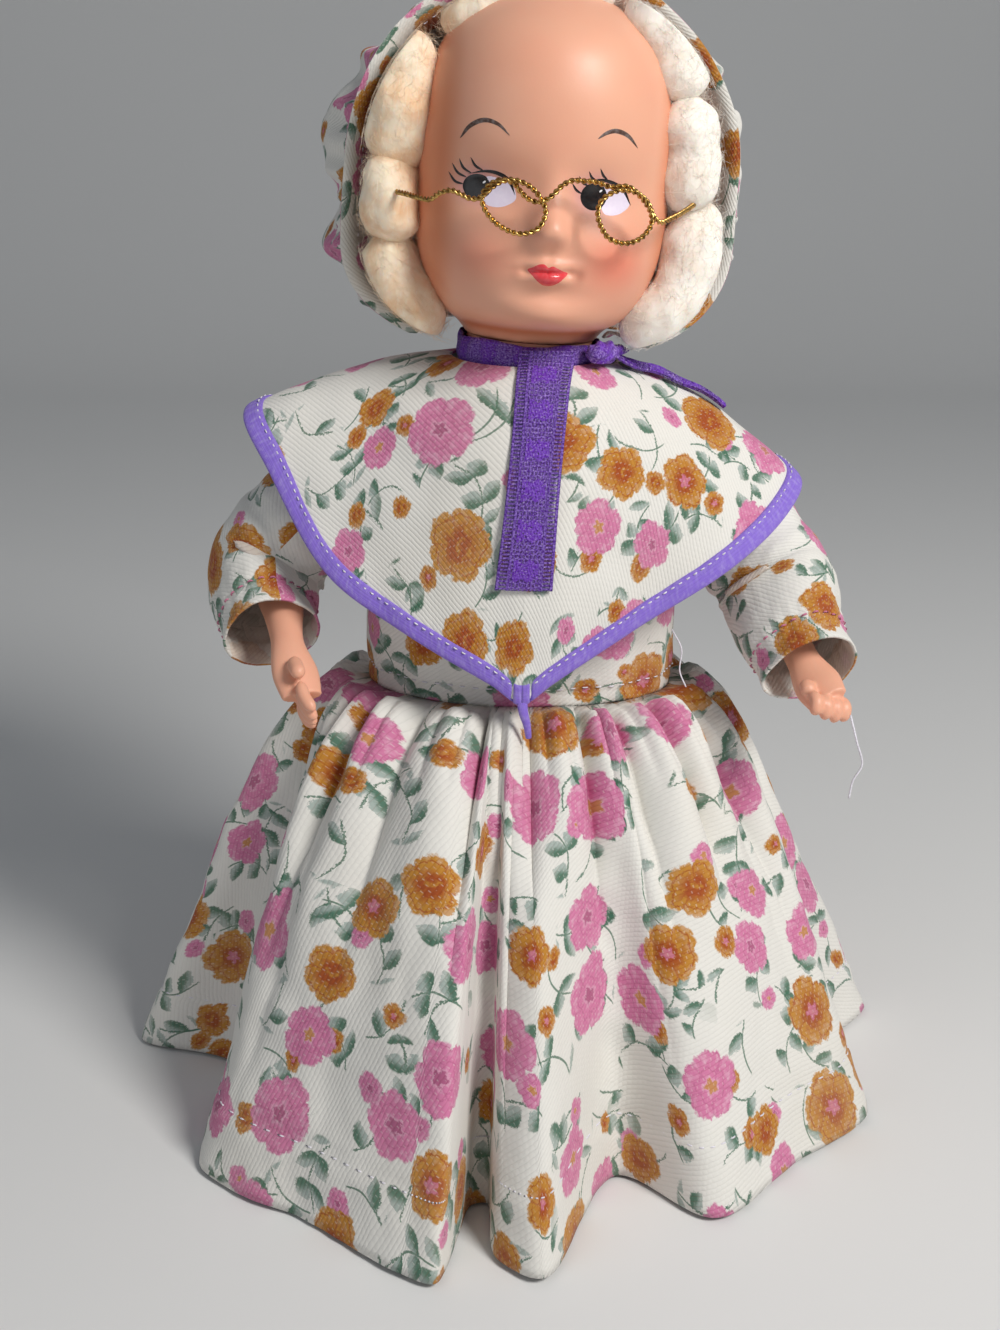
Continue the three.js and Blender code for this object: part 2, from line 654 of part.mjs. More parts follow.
const rightSleevePose = {
  crest: [9, 0, -4], bend: [14.5, 0, -12], elbow: [29, 1, -30], forearm: [28, -9, -38],
  cuff: [25, -19, -44], foldPhase: 0.4,
};
const leftSleevePose = {
  crest: [9, 0, -4], bend: [14.5, -2, -13], elbow: [27, -8, -29], forearm: [30, -20, -39],
  cuff: [34, -32, -47], foldPhase: 2.2,
};

// Edge of the cape collar, counted from the neck: the front point, one side, the back, the other side.
const collarEdgePoints = [
  [0, -42, -80.4], [-27, -38, -66], [-52, -30, -50], [-69, -18, -24], [-76, -8, -13], [-74, 3, -11],
  [-58, 19, -17], [-31, 33, -36], [0, 38, -46], [31, 33, -40], [58, 20, -30], [73, 3, -26],
  [75.5, -8, -28], [71, -16, -34], [56, -30, -45], [29, -37, -62],
];
const collarEdge = new THREE.CatmullRomCurve3(
  collarEdgePoints.map(([x, y, z]) => point(x, y, neckHeight + z)), true, "centripetal");
const laceBandOuter = neckPostRadius + laceEase + laceThickness * 1.6;
const collarNeckRadius = laceBandOuter + clothThickness + gap;

// A place on the collar: k runs round the edge, out from 0 at the neck to 1 at the edge.
function collarPoint(k, out) {
  const edge = collarEdge.getPoint(k);
  const azimuth = Math.atan2(edge.y, edge.x);
  const outline = point(Math.cos(azimuth), Math.sin(azimuth), 0);
  const start = outline.clone().multiplyScalar(collarNeckRadius).setZ(neckHeight + collarNeckHeight);
  const drop = (start.z - edge.z) / 84;
  const bulge = Math.sin(Math.PI * out ** 0.75);
  return start.lerp(edge, out)
    .addScaledVector(outline, bulge * 9 * drop)
    .addScaledVector(up, bulge * 3.2);
}

function collarGrid(outs) {
  const columns = collarEdgePoints.length * 3;
  return outs.map((out) => Array.from({ length: columns }, (_, j) => {
    const k = j / columns;
    const reach = collarPoint(k, 0).distanceTo(collarPoint(k, 1));
    return collarPoint(k, out(reach));
  }));
}

// The binding's outer face lies on the collar's edge, and the cloth ends a gap short of the binding.
function collarGeometry() {
  const outs = [0, 0.32, 0.66, 1].map((share) => (reach) => share * (1 - (bindingWidth + gap) / reach));
  return clothWall(collarGrid(outs), 0, -clothThickness);
}

function bindingGeometry() {
  const outs = [bindingWidth, 0].map((back) => (reach) => 1 - back / reach);
  const proud = (bindingThickness - clothThickness) / 2;
  return clothWall(collarGrid(outs), proud, proud - bindingThickness);
}

// Lace round the neck, in the head's tilted frame, with the tied knot and its tail.
function neckLaceGeometry() {
  const low = laceBandDrop;
  const inner = neckPostRadius + laceEase;
  const profile = [
    [inner, low], [laceBandOuter, low], [laceBandOuter, low + laceBandHeight], [inner, low + laceBandHeight],
    [inner, low],
  ];
  return turnedOnZ(profile, 32);
}

// The strip that hangs down the front, just clear of the collar.
function jabotGeometry() {
  const outs = [0.06, 0.14, 0.24, 0.34, 0.45, 0.56, 0.66];
  const end = outs.at(-1);
  const bandTop = neckHeight + laceBandDrop + laceBandHeight;
  const top = [[5, 0.7], [4.6, 3.2]].map(([x, drop]) =>
    point(x, -laceBandOuter - laceLift, bandTop - drop));
  const below = outs.map((out) => {
    const here = collarPoint(0, out);
    const next = collarPoint(0, out + 0.02);
    const along = next.clone().sub(here).normalize();
    const normal = point(1, 0, 0).cross(along).normalize().negate();
    if (normal.y > 0) normal.negate();
    return here.addScaledVector(normal, laceLift).setX(lerp(4.2, 0, out / end));
  });
  const path = [...top, ...below];
  const across = path.map(() => point(1, 0, 0));
  const normals = path.map((p, i) => {
    const along = path[Math.min(i + 1, path.length - 1)].clone().sub(path[Math.max(i - 1, 0)]);
    const normal = along.cross(point(1, 0, 0)).normalize();
    return normal.y > 0 ? normal.negate() : normal;
  });
  return strip(path, across, normals, laceStripWidth, laceThickness);
}

function laceKnotGeometry() {
  const knot = new THREE.SphereGeometry(knotRadius, 10, 7);
  knot.scale(1.35, 0.95, 0.68);
  knot.rotateZ(radians(knotAzimuth + 90));
  const reach = laceBandOuter + 0.35 + knotRadius * 0.95;
  knot.translate(
    Math.cos(radians(knotAzimuth)) * reach, Math.sin(radians(knotAzimuth)) * reach, collarNeckHeight + 4.2);
  return outward(knot);
}

// The tail runs from the knot over the collar's shoulder.
function laceTailGeometry() {
  const ks = [0.86, 0.835, 0.81, 0.785, 0.765];
  const outs = [0.2, 0.3, 0.42, 0.52, 0.6];
  const path = ks.map((k, i) => collarPoint(k, outs[i]).addScaledVector(up, 1.7));
  const normals = path.map(() => point(0.3, -0.15, 1).normalize());
  const across = path.map((p, i) => {
    const along = path[Math.min(i + 1, path.length - 1)].clone().sub(path[Math.max(i - 1, 0)]).normalize();
    return normals[i].clone().cross(along).normalize();
  });
  return strip(path, across, normals, laceStripWidth * 0.5, laceThickness);
}

// Bonnet as ovals standing across the head, counted back from the face.
const bonnetCentre = headBottom + headHeight * 0.485;

function bonnetRing(halfWidth, halfHeight, lift, back, sides, pleat = 0) {
  return Array.from({ length: sides }, (_, j) => {
    const angle = (j / sides) * 2 * Math.PI - Math.PI / 2;
    const pleats = 1 + pleat * Math.cos((angle * sides) / 4);
    const jowl = Math.sin(angle) < 0 ? bonnetJowl * Math.sin(angle) ** 2 * Math.abs(Math.cos(angle)) : 0;
    const height = bonnetCentre + lift + Math.sin(angle) * halfHeight * pleats;
    return point(Math.cos(angle) * halfWidth * pleats * (1 + jowl), back, height);
  });
}

const neckClearing = () => {
  const clearing = turnedOnZ([
    [0, -headHeight], [neckClearRadius, -headHeight], [neckClearRadius, neckClearHeight],
    [0, neckClearHeight],
  ], 28);
  const under = new THREE.BoxGeometry(crownHalfWidth * 4, crownHalfWidth * 4, headHeight);
  under.translate(0, 0, collarNeckHeight + bonnetClearHeight - headHeight / 2);
  return [clearing, under];
};

// A ring of the brim, t from its front edge to the crown, drawn in by its flare and by a clearance.
const brimRing = (t, clear, sides) => {
  const size = 1 - brimFlare * t;
  return bonnetRing(bonnetHalfWidth * size - clear, bonnetHalfHeight * size - clear, t * -0.5,
    t * brimDepth - brimFront, sides);
};

function brimGeometry() {
  const stations = [0, 0.5, 1];
  const outer = stations.map((t) => brimRing(t, 0, 40));
  const inner = stations.map((t) => brimRing(t, bonnetClothThickness, 40));
  return geometryOf(cut(solidOf(skin([...outer, ...inner.reverse()], true)), ...neckClearing()));
}

function crownGeometry() {
  const stations = [
    [0, 0.825, 0.92, 0], [0.1, 0.93, 0.95, 0.02], [0.32, 1, 0.97, 0.04], [0.6, 0.95, 0.93, 0.04],
    [0.82, 0.74, 0.73, 0.02], [0.95, 0.4, 0.4, 0.01], [1, 0.1, 0.1, 0],
  ];
  const outer = solidOf(skin(stations.map(([t, w, h, pleat]) => bonnetRing(
    crownHalfWidth * w, bonnetHalfHeight * h, -1, crownFrom + t * crownDepth, 44, pleat))));
  const wall = bonnetClothThickness + crownPleatDepth;
  const hollow = solidOf(skin(stations.map(([t, w, h]) => bonnetRing(
    Math.max(crownHalfWidth * w - wall, 1), Math.max(bonnetHalfHeight * h - wall, 1), -1,
    crownFrom + t * (crownDepth - bonnetClothThickness) - (t === 0 ? 1 : 0), 28))));
  return geometryOf(cut(outer.subtract(hollow), ...neckClearing()));
}

// Space inside the bonnet that the cotton may fill: from before the face to behind the brim.
function insideBonnet() {
  return skin([-2, 0, 0.5, 1].map((t) => brimRing(t, bonnetClothThickness + cottonGap, 32)));
}

// Hair: rolls of cotton wool tucked between the head and the bonnet.
const hairRolls = {
  top_hair_roll: [[-0.74, 0.11, 0.885], [-0.39, 0.14, 0.965], [-0.03, 0.17, 0.99], [0.3, 0.17, 0.98]],
  right_upper_hair_roll: [[-1.06, 0.17, 0.8], [-1.13, 0.19, 0.64], [-1.13, 0.19, 0.49]],
  right_middle_hair_roll: [[-1.16, 0.14, 0.46], [-1.16, 0.22, 0.37], [-1.13, 0.19, 0.3]],
  right_lower_hair_roll: [[-1.16, 0.17, 0.24], [-1.05, 0.2, 0.12], [-0.83, 0.25, 0.03]],
  left_upper_hair_roll: [[0.63, 0.25, 0.945], [0.86, 0.28, 0.86], [1.01, 0.29, 0.76]],
  left_middle_hair_roll: [[1.04, 0.31, 0.68], [1.09, 0.32, 0.555], [1.04, 0.31, 0.45]],
  left_lower_hair_roll: [[1.22, 0.25, 0.39], [1.19, 0.28, 0.27], [1.07, 0.31, 0.15], [0.8, 0.33, 0.05]],
};

function hairGeometries() {
  const head = solidOf(headEnvelope());
  const room = solidOf(insideBonnet());
  const wires = templePaths.map((points) => {
    const end = points.at(-1).clone().multiplyScalar(2).sub(points.at(-2)).lerp(points.at(-1), 0.85);
    return solidOf(wire([...points, end], 8, 6, wireRadius + 2 * cottonGap));
  });
  const placed = [];
  return Object.fromEntries(Object.entries(hairRolls).map(([name, points]) => {
    const radius = name === "top_hair_roll" ? hairRollRadius * 0.8 : hairRollRadius;
    const shape = (ease) => solidOf(roll(points.map(onHead), radius + ease, 9, 10, 2.4));
    let cotton = shape(0).intersect(room).subtract(head);
    for (const wire of wires) cotton = cotton.subtract(wire);
    for (const other of placed) cotton = cotton.subtract(other);
    placed.push(shape(cottonGap));
    const largest = cotton.decompose().sort((a, b) => b.volume() - a.volume())[0];
    return [name, geometryOf(largest)];
  }));
}

// Spectacles: two rims, a bridge over the nose and temples that run into the cotton.
const rimCentres = [[-0.327, 1.133, 0.407], [0.446, 1.144, 0.402]].map(onHead);
const templePaths = [
  [[-0.506, 1.139, 0.452], [-0.714, 1.042, 0.458], [-0.923, 0.833, 0.447], [-1.101, 0.5, 0.435],
    [-1.25, 0.222, 0.43]],
  [[0.64, 1.139, 0.395], [0.804, 1.028, 0.424], [0.967, 0.806, 0.447], [1.116, 0.528, 0.452],
    [1.22, 0.25, 0.452]],
].map((route) => route.map(onHead));

function wire(points, steps, sides, radius) {
  return skin(ringsAlong(new THREE.CatmullRomCurve3(points), steps, sides, () => [radius, radius]));
}

function spectaclesGeometry() {
  const rims = rimCentres.map((centre) => {
    const ring = new THREE.TorusGeometry(rimRadius, wireRadius, 5, 20);
    ring.rotateX(Math.PI / 2);
    ring.rotateZ(radians(centre.x * 0.6));
    ring.translate(centre.x, centre.y, centre.z);
    return ring;
  });
  const [left, right] = rimCentres;
  const bridge = wire([
    left.clone().add(point(rimRadius, 0, 1)), left.clone().add(point(rimRadius + 3, -1.6, 5)),
    right.clone().add(point(-rimRadius - 3, -1.6, 6.4)),
    right.clone().add(point(-rimRadius * 0.5, -0.4, rimRadius * 0.86)),
  ], 8, 5, wireRadius);
  const temples = templePaths.map((points) => wire(points, 9, 5, wireRadius));
  return geometryOf(union(...rims, bridge, ...temples));
}

function finish(color, roughness, metalness = 0) {
  return new THREE.MeshStandardMaterial({ color, roughness, metalness });
}

const skinFinish = { color: 0xe8b493, roughness: 0.42 };
const printFinish = { color: 0xe4dfd6, roughness: 0.9 };
const laceFinish = { color: 0x5a2aa0, roughness: 0.85 };
const cottonFinish = { color: 0xeadfc8, roughness: 1 };

function piece(name, geometry, look) {
  const mesh = new THREE.Mesh(geometry, finish(look.color, look.roughness, look.metalness));
  mesh.name = name;
  return mesh;
}

const group = new THREE.Group();
const figure = new THREE.Group();
figure.rotation.y = radians(bodyLean);
const neck = new THREE.Group();
neck.position.set(0, 0, neckHeight);
neck.rotation.y = radians(headTilt);
const head = new THREE.Group();
head.rotation.z = radians(headTurn);
neck.add(head);
figure.add(neck);
group.add(figure);

group.add(
  piece("right_leg", legGeometry(-1), skinFinish),
  piece("left_leg", legGeometry(1), skinFinish),
  piece("skirt", skirtGeometry(), printFinish),
);
figure.add(
  piece("torso", torsoGeometry(), skinFinish),
  piece("right_arm", armGeometry(-1, rightArmPose), skinFinish),
  piece("left_arm", armGeometry(1, leftArmPose), skinFinish),
  piece("bodice", bodiceGeometry(), printFinish),
  piece("right_sleeve", sleeveGeometry(-1, rightSleevePose), printFinish),
  piece("left_sleeve", sleeveGeometry(1, leftSleevePose), printFinish),
  piece("cape_collar", collarGeometry(), printFinish),
  piece("collar_binding", bindingGeometry(), { color: 0x8c6ec3, roughness: 0.7 }),
  piece("lace_jabot", jabotGeometry(), laceFinish),
  piece("lace_tail", laceTailGeometry(), laceFinish),
);
neck.add(
  piece("neck_lace", neckLaceGeometry(), laceFinish),
  piece("lace_knot", laceKnotGeometry(), laceFinish),
);
head.add(
  piece("head", headGeometry(), skinFinish),
  piece("bonnet_brim", brimGeometry(), printFinish),
  piece("bonnet_crown", crownGeometry(), printFinish),
  piece("spectacles", spectaclesGeometry(), { color: 0xc9a24a, roughness: 0.3, metalness: 1 }),
);
for (const [name, geometry] of Object.entries(hairGeometries())) {
  head.add(piece(name, geometry, cottonFinish));
}

export default group;
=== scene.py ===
"""Grandma doll: the print dress, collar, lace, bonnet, cotton hair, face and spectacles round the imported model.

Shapes are worked out in millimetres in the figure's, neck's or head's own frame, and every
finished piece is in metres in the model's frame.
"""

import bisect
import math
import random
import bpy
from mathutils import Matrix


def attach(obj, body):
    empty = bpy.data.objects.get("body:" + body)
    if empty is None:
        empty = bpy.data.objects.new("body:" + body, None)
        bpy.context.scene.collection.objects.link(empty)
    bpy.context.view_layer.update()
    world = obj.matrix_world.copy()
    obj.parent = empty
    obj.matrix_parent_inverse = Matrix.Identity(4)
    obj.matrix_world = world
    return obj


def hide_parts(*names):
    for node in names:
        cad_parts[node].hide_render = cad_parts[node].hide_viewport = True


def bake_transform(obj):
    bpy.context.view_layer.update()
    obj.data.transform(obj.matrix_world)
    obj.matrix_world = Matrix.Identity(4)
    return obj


bl_info = {
    "name": "Grandma Doll",
    "version": (1, 0, 0),
    "blender": (4, 5, 0),
    "location": "View3D > Sidebar > Doll",
    "description": "Dresses the packed doll in print cotton, lace, cotton wool hair and wire spectacles",
    "category": "Add Mesh",
}

from functools import lru_cache

import bmesh
import bpy
from mathutils import Matrix, Vector, noise
from mathutils.bvhtree import BVHTree

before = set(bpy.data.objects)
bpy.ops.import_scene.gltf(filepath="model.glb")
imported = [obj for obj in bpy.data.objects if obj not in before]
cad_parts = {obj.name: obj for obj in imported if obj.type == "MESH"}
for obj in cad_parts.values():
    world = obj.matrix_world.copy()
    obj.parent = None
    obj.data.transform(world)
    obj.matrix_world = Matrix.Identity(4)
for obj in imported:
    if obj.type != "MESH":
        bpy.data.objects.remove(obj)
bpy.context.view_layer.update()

MM = 0.001
TURN = 2 * math.pi
UP = Vector((0, 0, 1))

BODY_LEAN = math.radians(1.2)
HEAD_TILT = math.radians(3)
HEAD_TURN = math.radians(3.5)
WHITE = (1.0, 1.0, 1.0, 1.0)
BLACK = (0.0, 0.0, 0.0, 1.0)


def colour(red, green, blue):
    """A colour from the 0 to 255 values of a picture, as the linear values that Blender uses."""
    def linear(value):
        share = value / 255
        return share / 12.92 if share <= 0.04045 else ((share + 0.055) / 1.055) ** 2.4
    return linear(red), linear(green), linear(blue)


def shade(red, green, blue):
    """A colour of a picture as a shader takes it, with its alpha."""
    return (*colour(red, green, blue), 1.0)


def length_property(name, description, millimetres):
    return bpy.props.FloatProperty(
        name=name, description=description, default=millimetres * MM, min=0.0, unit="LENGTH", precision=4)


def colour_property(name, description, red, green, blue):
    return bpy.props.FloatVectorProperty(
        name=name, description=description, default=colour(red, green, blue), size=3,
        min=0.0, max=1.0, subtype="COLOR")


class DollSizes(bpy.types.PropertyGroup):
    """Sizes of the figure and the dress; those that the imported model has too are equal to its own."""

    hip_height: length_property("Hip Height", "Floor to the hip joints", 92)
    waist_rise: length_property("Waist Rise", "Hip joints to the waist seam", 25.5)
    shoulder_rise: length_property("Shoulder Rise", "Hip joints to the shoulder joints", 87)
    neck_rise: length_property("Neck Rise", "Shoulder joints to the neck joint", 26)
    head_height: length_property("Head Height", "Neck rim to the crown of the head", 88)
    head_half_width: length_property("Head Half Width", "Middle to the side of the head", 33.6)
    face_depth: length_property("Face Depth", "Middle of the head to the face", 36)
    head_back_depth: length_property("Head Back Depth", "Middle of the head to its back", 39.5)
    bodice_half_width: length_property("Bodice Half Width", "Middle to the side of the bodice", 43)
    bodice_half_depth: length_property("Bodice Half Depth", "Middle to the front of the bodice", 27.5)
    sleeve_radius: length_property("Sleeve Radius", "Sleeve at the elbow", 16.5)
    cuff_radius: length_property("Cuff Radius", "Sleeve at the wrist", 13)
    hem_radius: length_property("Hem Radius", "Middle of the skirt to its hem folds", 112)
    hem_depth: length_property("Hem Depth", "Cloth turned up at the hem", 18)
    gather_depth: length_property("Gather Depth", "Depth of the gathers under the waist seam", 2.7)
    cloth_thickness: length_property("Cloth Thickness", "Print cotton", 0.7)
    binding_width: length_property("Binding Width", "Folded tape on the collar's edge", 5.8)
    stitch_length: length_property("Stitch Length", "Running stitches", 3.2)
    lace_width: length_property("Lace Width", "Lace that hangs in front", 15)
    bonnet_half_width: length_property("Bonnet Half Width", "Middle to the side of the brim", 52.4)
    bonnet_half_height: length_property("Bonnet Half Height", "Middle to the top of the brim", 52)
    brim_depth: length_property("Brim Depth", "Front edge of the bonnet to the crown", 14)
    crown_half_width: length_property("Crown Half Width", "Middle to the side of the crown", 57)
    crown_depth: length_property("Crown Depth", "Brim to the back of the crown", 45)
    hair_radius: length_property("Hair Radius", "Rolls of cotton wool", 8.3)
    wire_radius: length_property("Wire Radius", "One strand of the spectacles", 0.39)


class DollColours(bpy.types.PropertyGroup):
    """Colours of the doll's materials."""

    plastic: colour_property("Plastic", "Face and limbs", 233, 172, 143)
    blush: colour_property("Blush", "Cheeks", 226, 122, 98)
    lips: colour_property("Lips", "Painted mouth", 222, 66, 72)
    ink: colour_property("Ink", "Painted eyes and lashes", 22, 18, 20)
    brow: colour_property("Brow", "Painted brows", 74, 46, 34)
    ground: colour_property("Ground", "Unprinted cotton", 226, 223, 216)
    pink: colour_property("Pink", "Pink roses", 207, 122, 160)
    ochre: colour_property("Ochre", "Ochre flowers", 188, 130, 48)
    brown: colour_property("Brown", "Hearts and petal lines of the ochre flowers", 156, 66, 26)
    leaf: colour_property("Leaf", "Leaves and stems", 62, 108, 86)
    tape: colour_property("Tape", "Binding of the collar", 136, 107, 208)
    thread: colour_property("Thread", "Sewing thread", 236, 232, 240)
    lace: colour_property("Lace", "Purple lace", 104, 16, 184)
    cotton: colour_property("Cotton", "Cotton wool hair", 250, 244, 234)
    gold: colour_property("Gold", "Spectacles", 208, 168, 98)
    floor: colour_property("Floor", "Floor and backdrop", 226, 225, 223)


def size(name):
    """A size of the doll in millimetres."""
    return getattr(bpy.context.scene.doll_sizes, name) / MM


def paint(name):
    """A colour of the doll with its alpha."""
    return (*getattr(bpy.context.scene.doll_colours, name), 1.0)


def shoulder_height():
    return size("hip_height") + size("shoulder_rise")


def neck_height():
    return shoulder_height() + size("neck_rise")


def figure_place():
    return Matrix.Rotation(BODY_LEAN, 4, "Y")


def neck_place():
    return figure_place() @ Matrix.Translation((0, 0, neck_height())) @ Matrix.Rotation(HEAD_TILT, 4, "Y")


def head_place():
    return neck_place() @ Matrix.Rotation(HEAD_TURN, 4, "Z")


# Numbers and curves


def lerp(a, b, share):
    return a + (b - a) * share


def ease(value, low, high):
    share = min(max((value - low) / (high - low), 0), 1)
    return share * share * (3 - 2 * share)


def curve_through(keys):
    """A smooth function through rows of x and its values."""
    def slope(i, column):
        before, after = keys[max(i - 1, 0)], keys[min(i + 1, len(keys) - 1)]
        return (after[column] - before[column]) / (after[0] - before[0])

    def value(x):
        i = 0
        while i < len(keys) - 2 and x > keys[i + 1][0]:
            i += 1
        a, b = keys[i], keys[i + 1]
        width = b[0] - a[0]
        t = min(max((x - a[0]) / width, 0), 1)
        found = []
        for column in range(1, len(a)):
            found.append(
                (2 * t**3 - 3 * t**2 + 1) * a[column] + (t**3 - 2 * t**2 + t) * width * slope(i, column)
                + (3 * t**2 - 2 * t**3) * b[column] + (t**3 - t**2) * width * slope(i + 1, column))
        return found
    return value


class Spline:
    """A smooth line through points, open or closed."""

    DIVISIONS = 240

    def __init__(self, points, closed=False):
        self.points = [Vector(p) for p in points]
        self.closed = closed
        marks = [self.at(i / self.DIVISIONS) for i in range(self.DIVISIONS + 1)]
        self.lengths = [0.0]
        for a, b in zip(marks, marks[1:]):
            self.lengths.append(self.lengths[-1] + (b - a).length)

    def at(self, k):
        points = self.points
        count = len(points)
        spans = count if self.closed else count - 1
        place = k * spans
        i = int(math.floor(place))
        share = place - i
        if not self.closed and i >= count - 1:
            i, share = count - 2, 1.0
        if self.closed:
            p0, p1, p2, p3 = (points[(i + n) % count] for n in (-1, 0, 1, 2))
        else:
            p1, p2 = points[i], points[i + 1]
            p0 = points[i - 1] if i > 0 else p1 * 2 - p2
            p3 = points[i + 2] if i + 2 < count else p2 * 2 - p1
        step = (p2 - p1).length ** 0.5 or 1.0
        before = (p1 - p0).length ** 0.5 or step
        after = (p3 - p2).length ** 0.5 or step
        start = ((p1 - p0) / before - (p2 - p0) / (before + step) + (p2 - p1) / step) * step
        end = ((p2 - p1) / step - (p3 - p1) / (step + after) + (p3 - p2) / after) * step
        t2, t3 = share * share, share**3
        return (p1 * (2 * t3 - 3 * t2 + 1) + start * (t3 - 2 * t2 + share)
                + p2 * (3 * t2 - 2 * t3) + end * (t3 - t2))

    def length(self):
        return self.lengths[-1]

    def share_at(self, u):
        """Where on the line the share u of its length has been run."""
        target = u * self.lengths[-1]
        low = min(max(bisect.bisect_right(self.lengths, target) - 1, 0), self.DIVISIONS - 1)
        span = self.lengths[low + 1] - self.lengths[low]
        return (low + ((target - self.lengths[low]) / span if span else 0)) / self.DIVISIONS

    def along(self, u):
        return self.at(self.share_at(min(max(u, 0), 1)))

    def tangent(self, u):
        return (self.along(min(u + 1e-4, 1)) - self.along(max(u - 1e-4, 0))).normalized()


def frames_along(spline, steps):
    """Centre, normal and binormal at even steps along a line, turned as little as possible."""
    tangents = [spline.tangent(i / steps) for i in range(steps + 1)]
    spread = [abs(c) for c in tangents[0]]
    least = max(i for i in range(3) if spread[i] <= min(spread) + 1e-9)
    axis = Vector([float(n == least) for n in range(3)])
    normal = tangents[0].cross(tangents[0].cross(axis).normalized())
    found = []
    for i, tangent in enumerate(tangents):
        if i:
            normal = tangents[i - 1].rotation_difference(tangent) @ normal
        found.append((spline.along(i / steps), normal.copy(), tangent.cross(normal)))
    return found


def bell(value, middle, width):
    """A bump of height 1 round the middle."""
    return math.exp(-((value - middle) / width) ** 2)


def signed_power(value, power):
    return math.copysign(abs(value) ** power, value)


def heading(azimuth):
    """The level direction at an azimuth."""
    return Vector((math.cos(azimuth), math.sin(azimuth), 0))


def about(normal, binormal, angle):
    """The direction at an angle round a line."""
    return normal * math.cos(angle) + binormal * math.sin(angle)


def clouds(place, depth=3):
    """Fractal noise, each octave twice as fine as the one before it."""
    return noise.fractal(place, 1.0, 2.0, depth)


def rough(x, y, z, scale, depth=3):
    """Fractal noise with a given grain in millimetres."""
    return clouds(Vector((x, y, z)) / scale, depth)


# Mesh helpers


def surface(bm, columns, rows, place, flat=None):
    """Adds a sheet to bm: the vertex at shares (s, t) goes to place(s, t), and flat(s, t) is its place on flat cloth.

    Both are in millimetres; the UV map keeps the flat cloth in metres.
    """
    layer = bm.loops.layers.uv.verify()
    made = bmesh.ops.create_grid(bm, x_segments=columns, y_segments=rows, size=0.5)["verts"]
    shares = {
        v: (round((v.co.x + 0.5) * columns) / columns, round((v.co.y + 0.5) * rows) / rows) for v in made}
    if flat is not None:
        for face in {face for v in made for face in v.link_faces}:
            for loop in face.loops:
                u, w = flat(*shares[loop.vert])
                loop[layer].uv = (u * MM, w * MM)
    for v, (s, t) in shares.items():
        v.co = place(s, t)
    bmesh.ops.remove_doubles(bm, verts=made, dist=1e-3)
    return shares


def tube_row(stations, t, cap=1):
    """The frame of a tube's row at share t of its rows, the frame's number, and whether the row closes an end."""
    steps = len(stations) - 1
    row = round(t * (steps + 2 * cap)) - cap
    index = min(max(row, 0), steps)
    return stations[index], index, row != index


def tube(bm, spline, radius, sides, steps, swell=None, ends="closed", flat=None):
    """Adds a tube along a line. radius(t) gives its two half widths, and swell(angle, t) shapes it."""
    stations = frames_along(spline, steps)
    cap = 1 if ends == "closed" else 0

    def place(s, t):
        (centre, normal, binormal), row, ending = tube_row(stations, t, cap)
        if ending:
            return centre.copy()
        share = row / steps
        a, b = radius(share)
        angle = s * TURN
        grown = swell(angle, share) if swell else 1.0
        return centre + normal * (math.cos(angle) * a * grown) + binormal * (math.sin(angle) * b * grown)
    surface(bm, sides, steps + 2 * cap, place, flat)


def crests(angle):
    """A wave with round crests and narrow valleys, from -1 to 1."""
    return 2 * abs(math.cos(angle / 2)) ** 0.75 - 1


def rounded(share, radius, blunt=1.6):
    """Radius of a roll that draws in to a dome at both ends."""
    end = min(min(share, 1 - share) * 2 * blunt, 1)
    return radius * math.sqrt(max(1 - (1 - end) ** 2, 0.03))


def roll_of(radius):
    """Both half widths of a round roll, as a tube takes them."""
    return lambda t: (rounded(t, radius), rounded(t, radius))


def strands(bm, routes, sides, radius):
    """Adds many short closed threads, one to each route of points; radius(t) is their half width."""
    stations = len(routes[0])
    rows = len(routes) * stations - 1
    made = bmesh.ops.create_grid(bm, x_segments=sides, y_segments=rows, size=0.5)["verts"]
    place = {v: (round((v.co.x + 0.5) * sides), round((v.co.y + 0.5) * rows)) for v in made}
    joins = [face for face in {face for v in made for face in v.link_faces}
             if len({place[v][1] // stations for v in face.verts}) > 1]
    bmesh.ops.delete(bm, geom=joins, context="FACES")
    frames = []
    for route in routes:
        for i, here in enumerate(route):
            along = (route[min(i + 1, stations - 1)] - route[max(i - 1, 0)]).normalized()
            normal = along.orthogonal().normalized()
            frames.append((here, normal, along.cross(normal), radius(i / (stations - 1))))
    for v, (column, row) in place.items():
        here, normal, binormal, reach = frames[row]
        v.co = here + about(normal, binormal, column / sides * TURN) * reach
    bmesh.ops.remove_doubles(bm, verts=made, dist=1e-4)


# How far a stitch stands off the cloth along its length, in its own half widths
STITCH_RISES = (-1.2, 0.3, 0.7, 0.3, -1.2)


def stitches(bm, sewn, length, pitch, share, radius):
    """Running stitches: sewn(u) gives a place and the way off the cloth, for u from 0 to 1 over a given length."""
    count = max(int(length / pitch), 1)
    routes = []
    for n in range(count):
        spots = [sewn((n + share * step / 4) / count) for step in range(5)]
        lift = spots[2][1]
        routes.append([spot + lift * (radius * rise) for (spot, _), rise in zip(spots, STITCH_RISES)])
    strands(bm, routes, 5, lambda t: radius * math.sqrt(max(1 - (2 * t - 1) ** 4, 0.0)))


def shown_object(bm, name, place, materials):
    """Turns a bmesh in millimetres into a smooth object in metres."""
    bm.transform(Matrix.Scale(MM, 4) @ place)
    for face in bm.faces:
        face.smooth = True
    mesh = bpy.data.meshes.new(name)
    bm.to_mesh(mesh)
    bm.free()
    for coat in materials if isinstance(materials, (list, tuple)) else [materials]:
        mesh.materials.append(coat)
    shown = bpy.data.objects.new(name, mesh)
    bpy.context.scene.collection.objects.link(shown)
    return shown


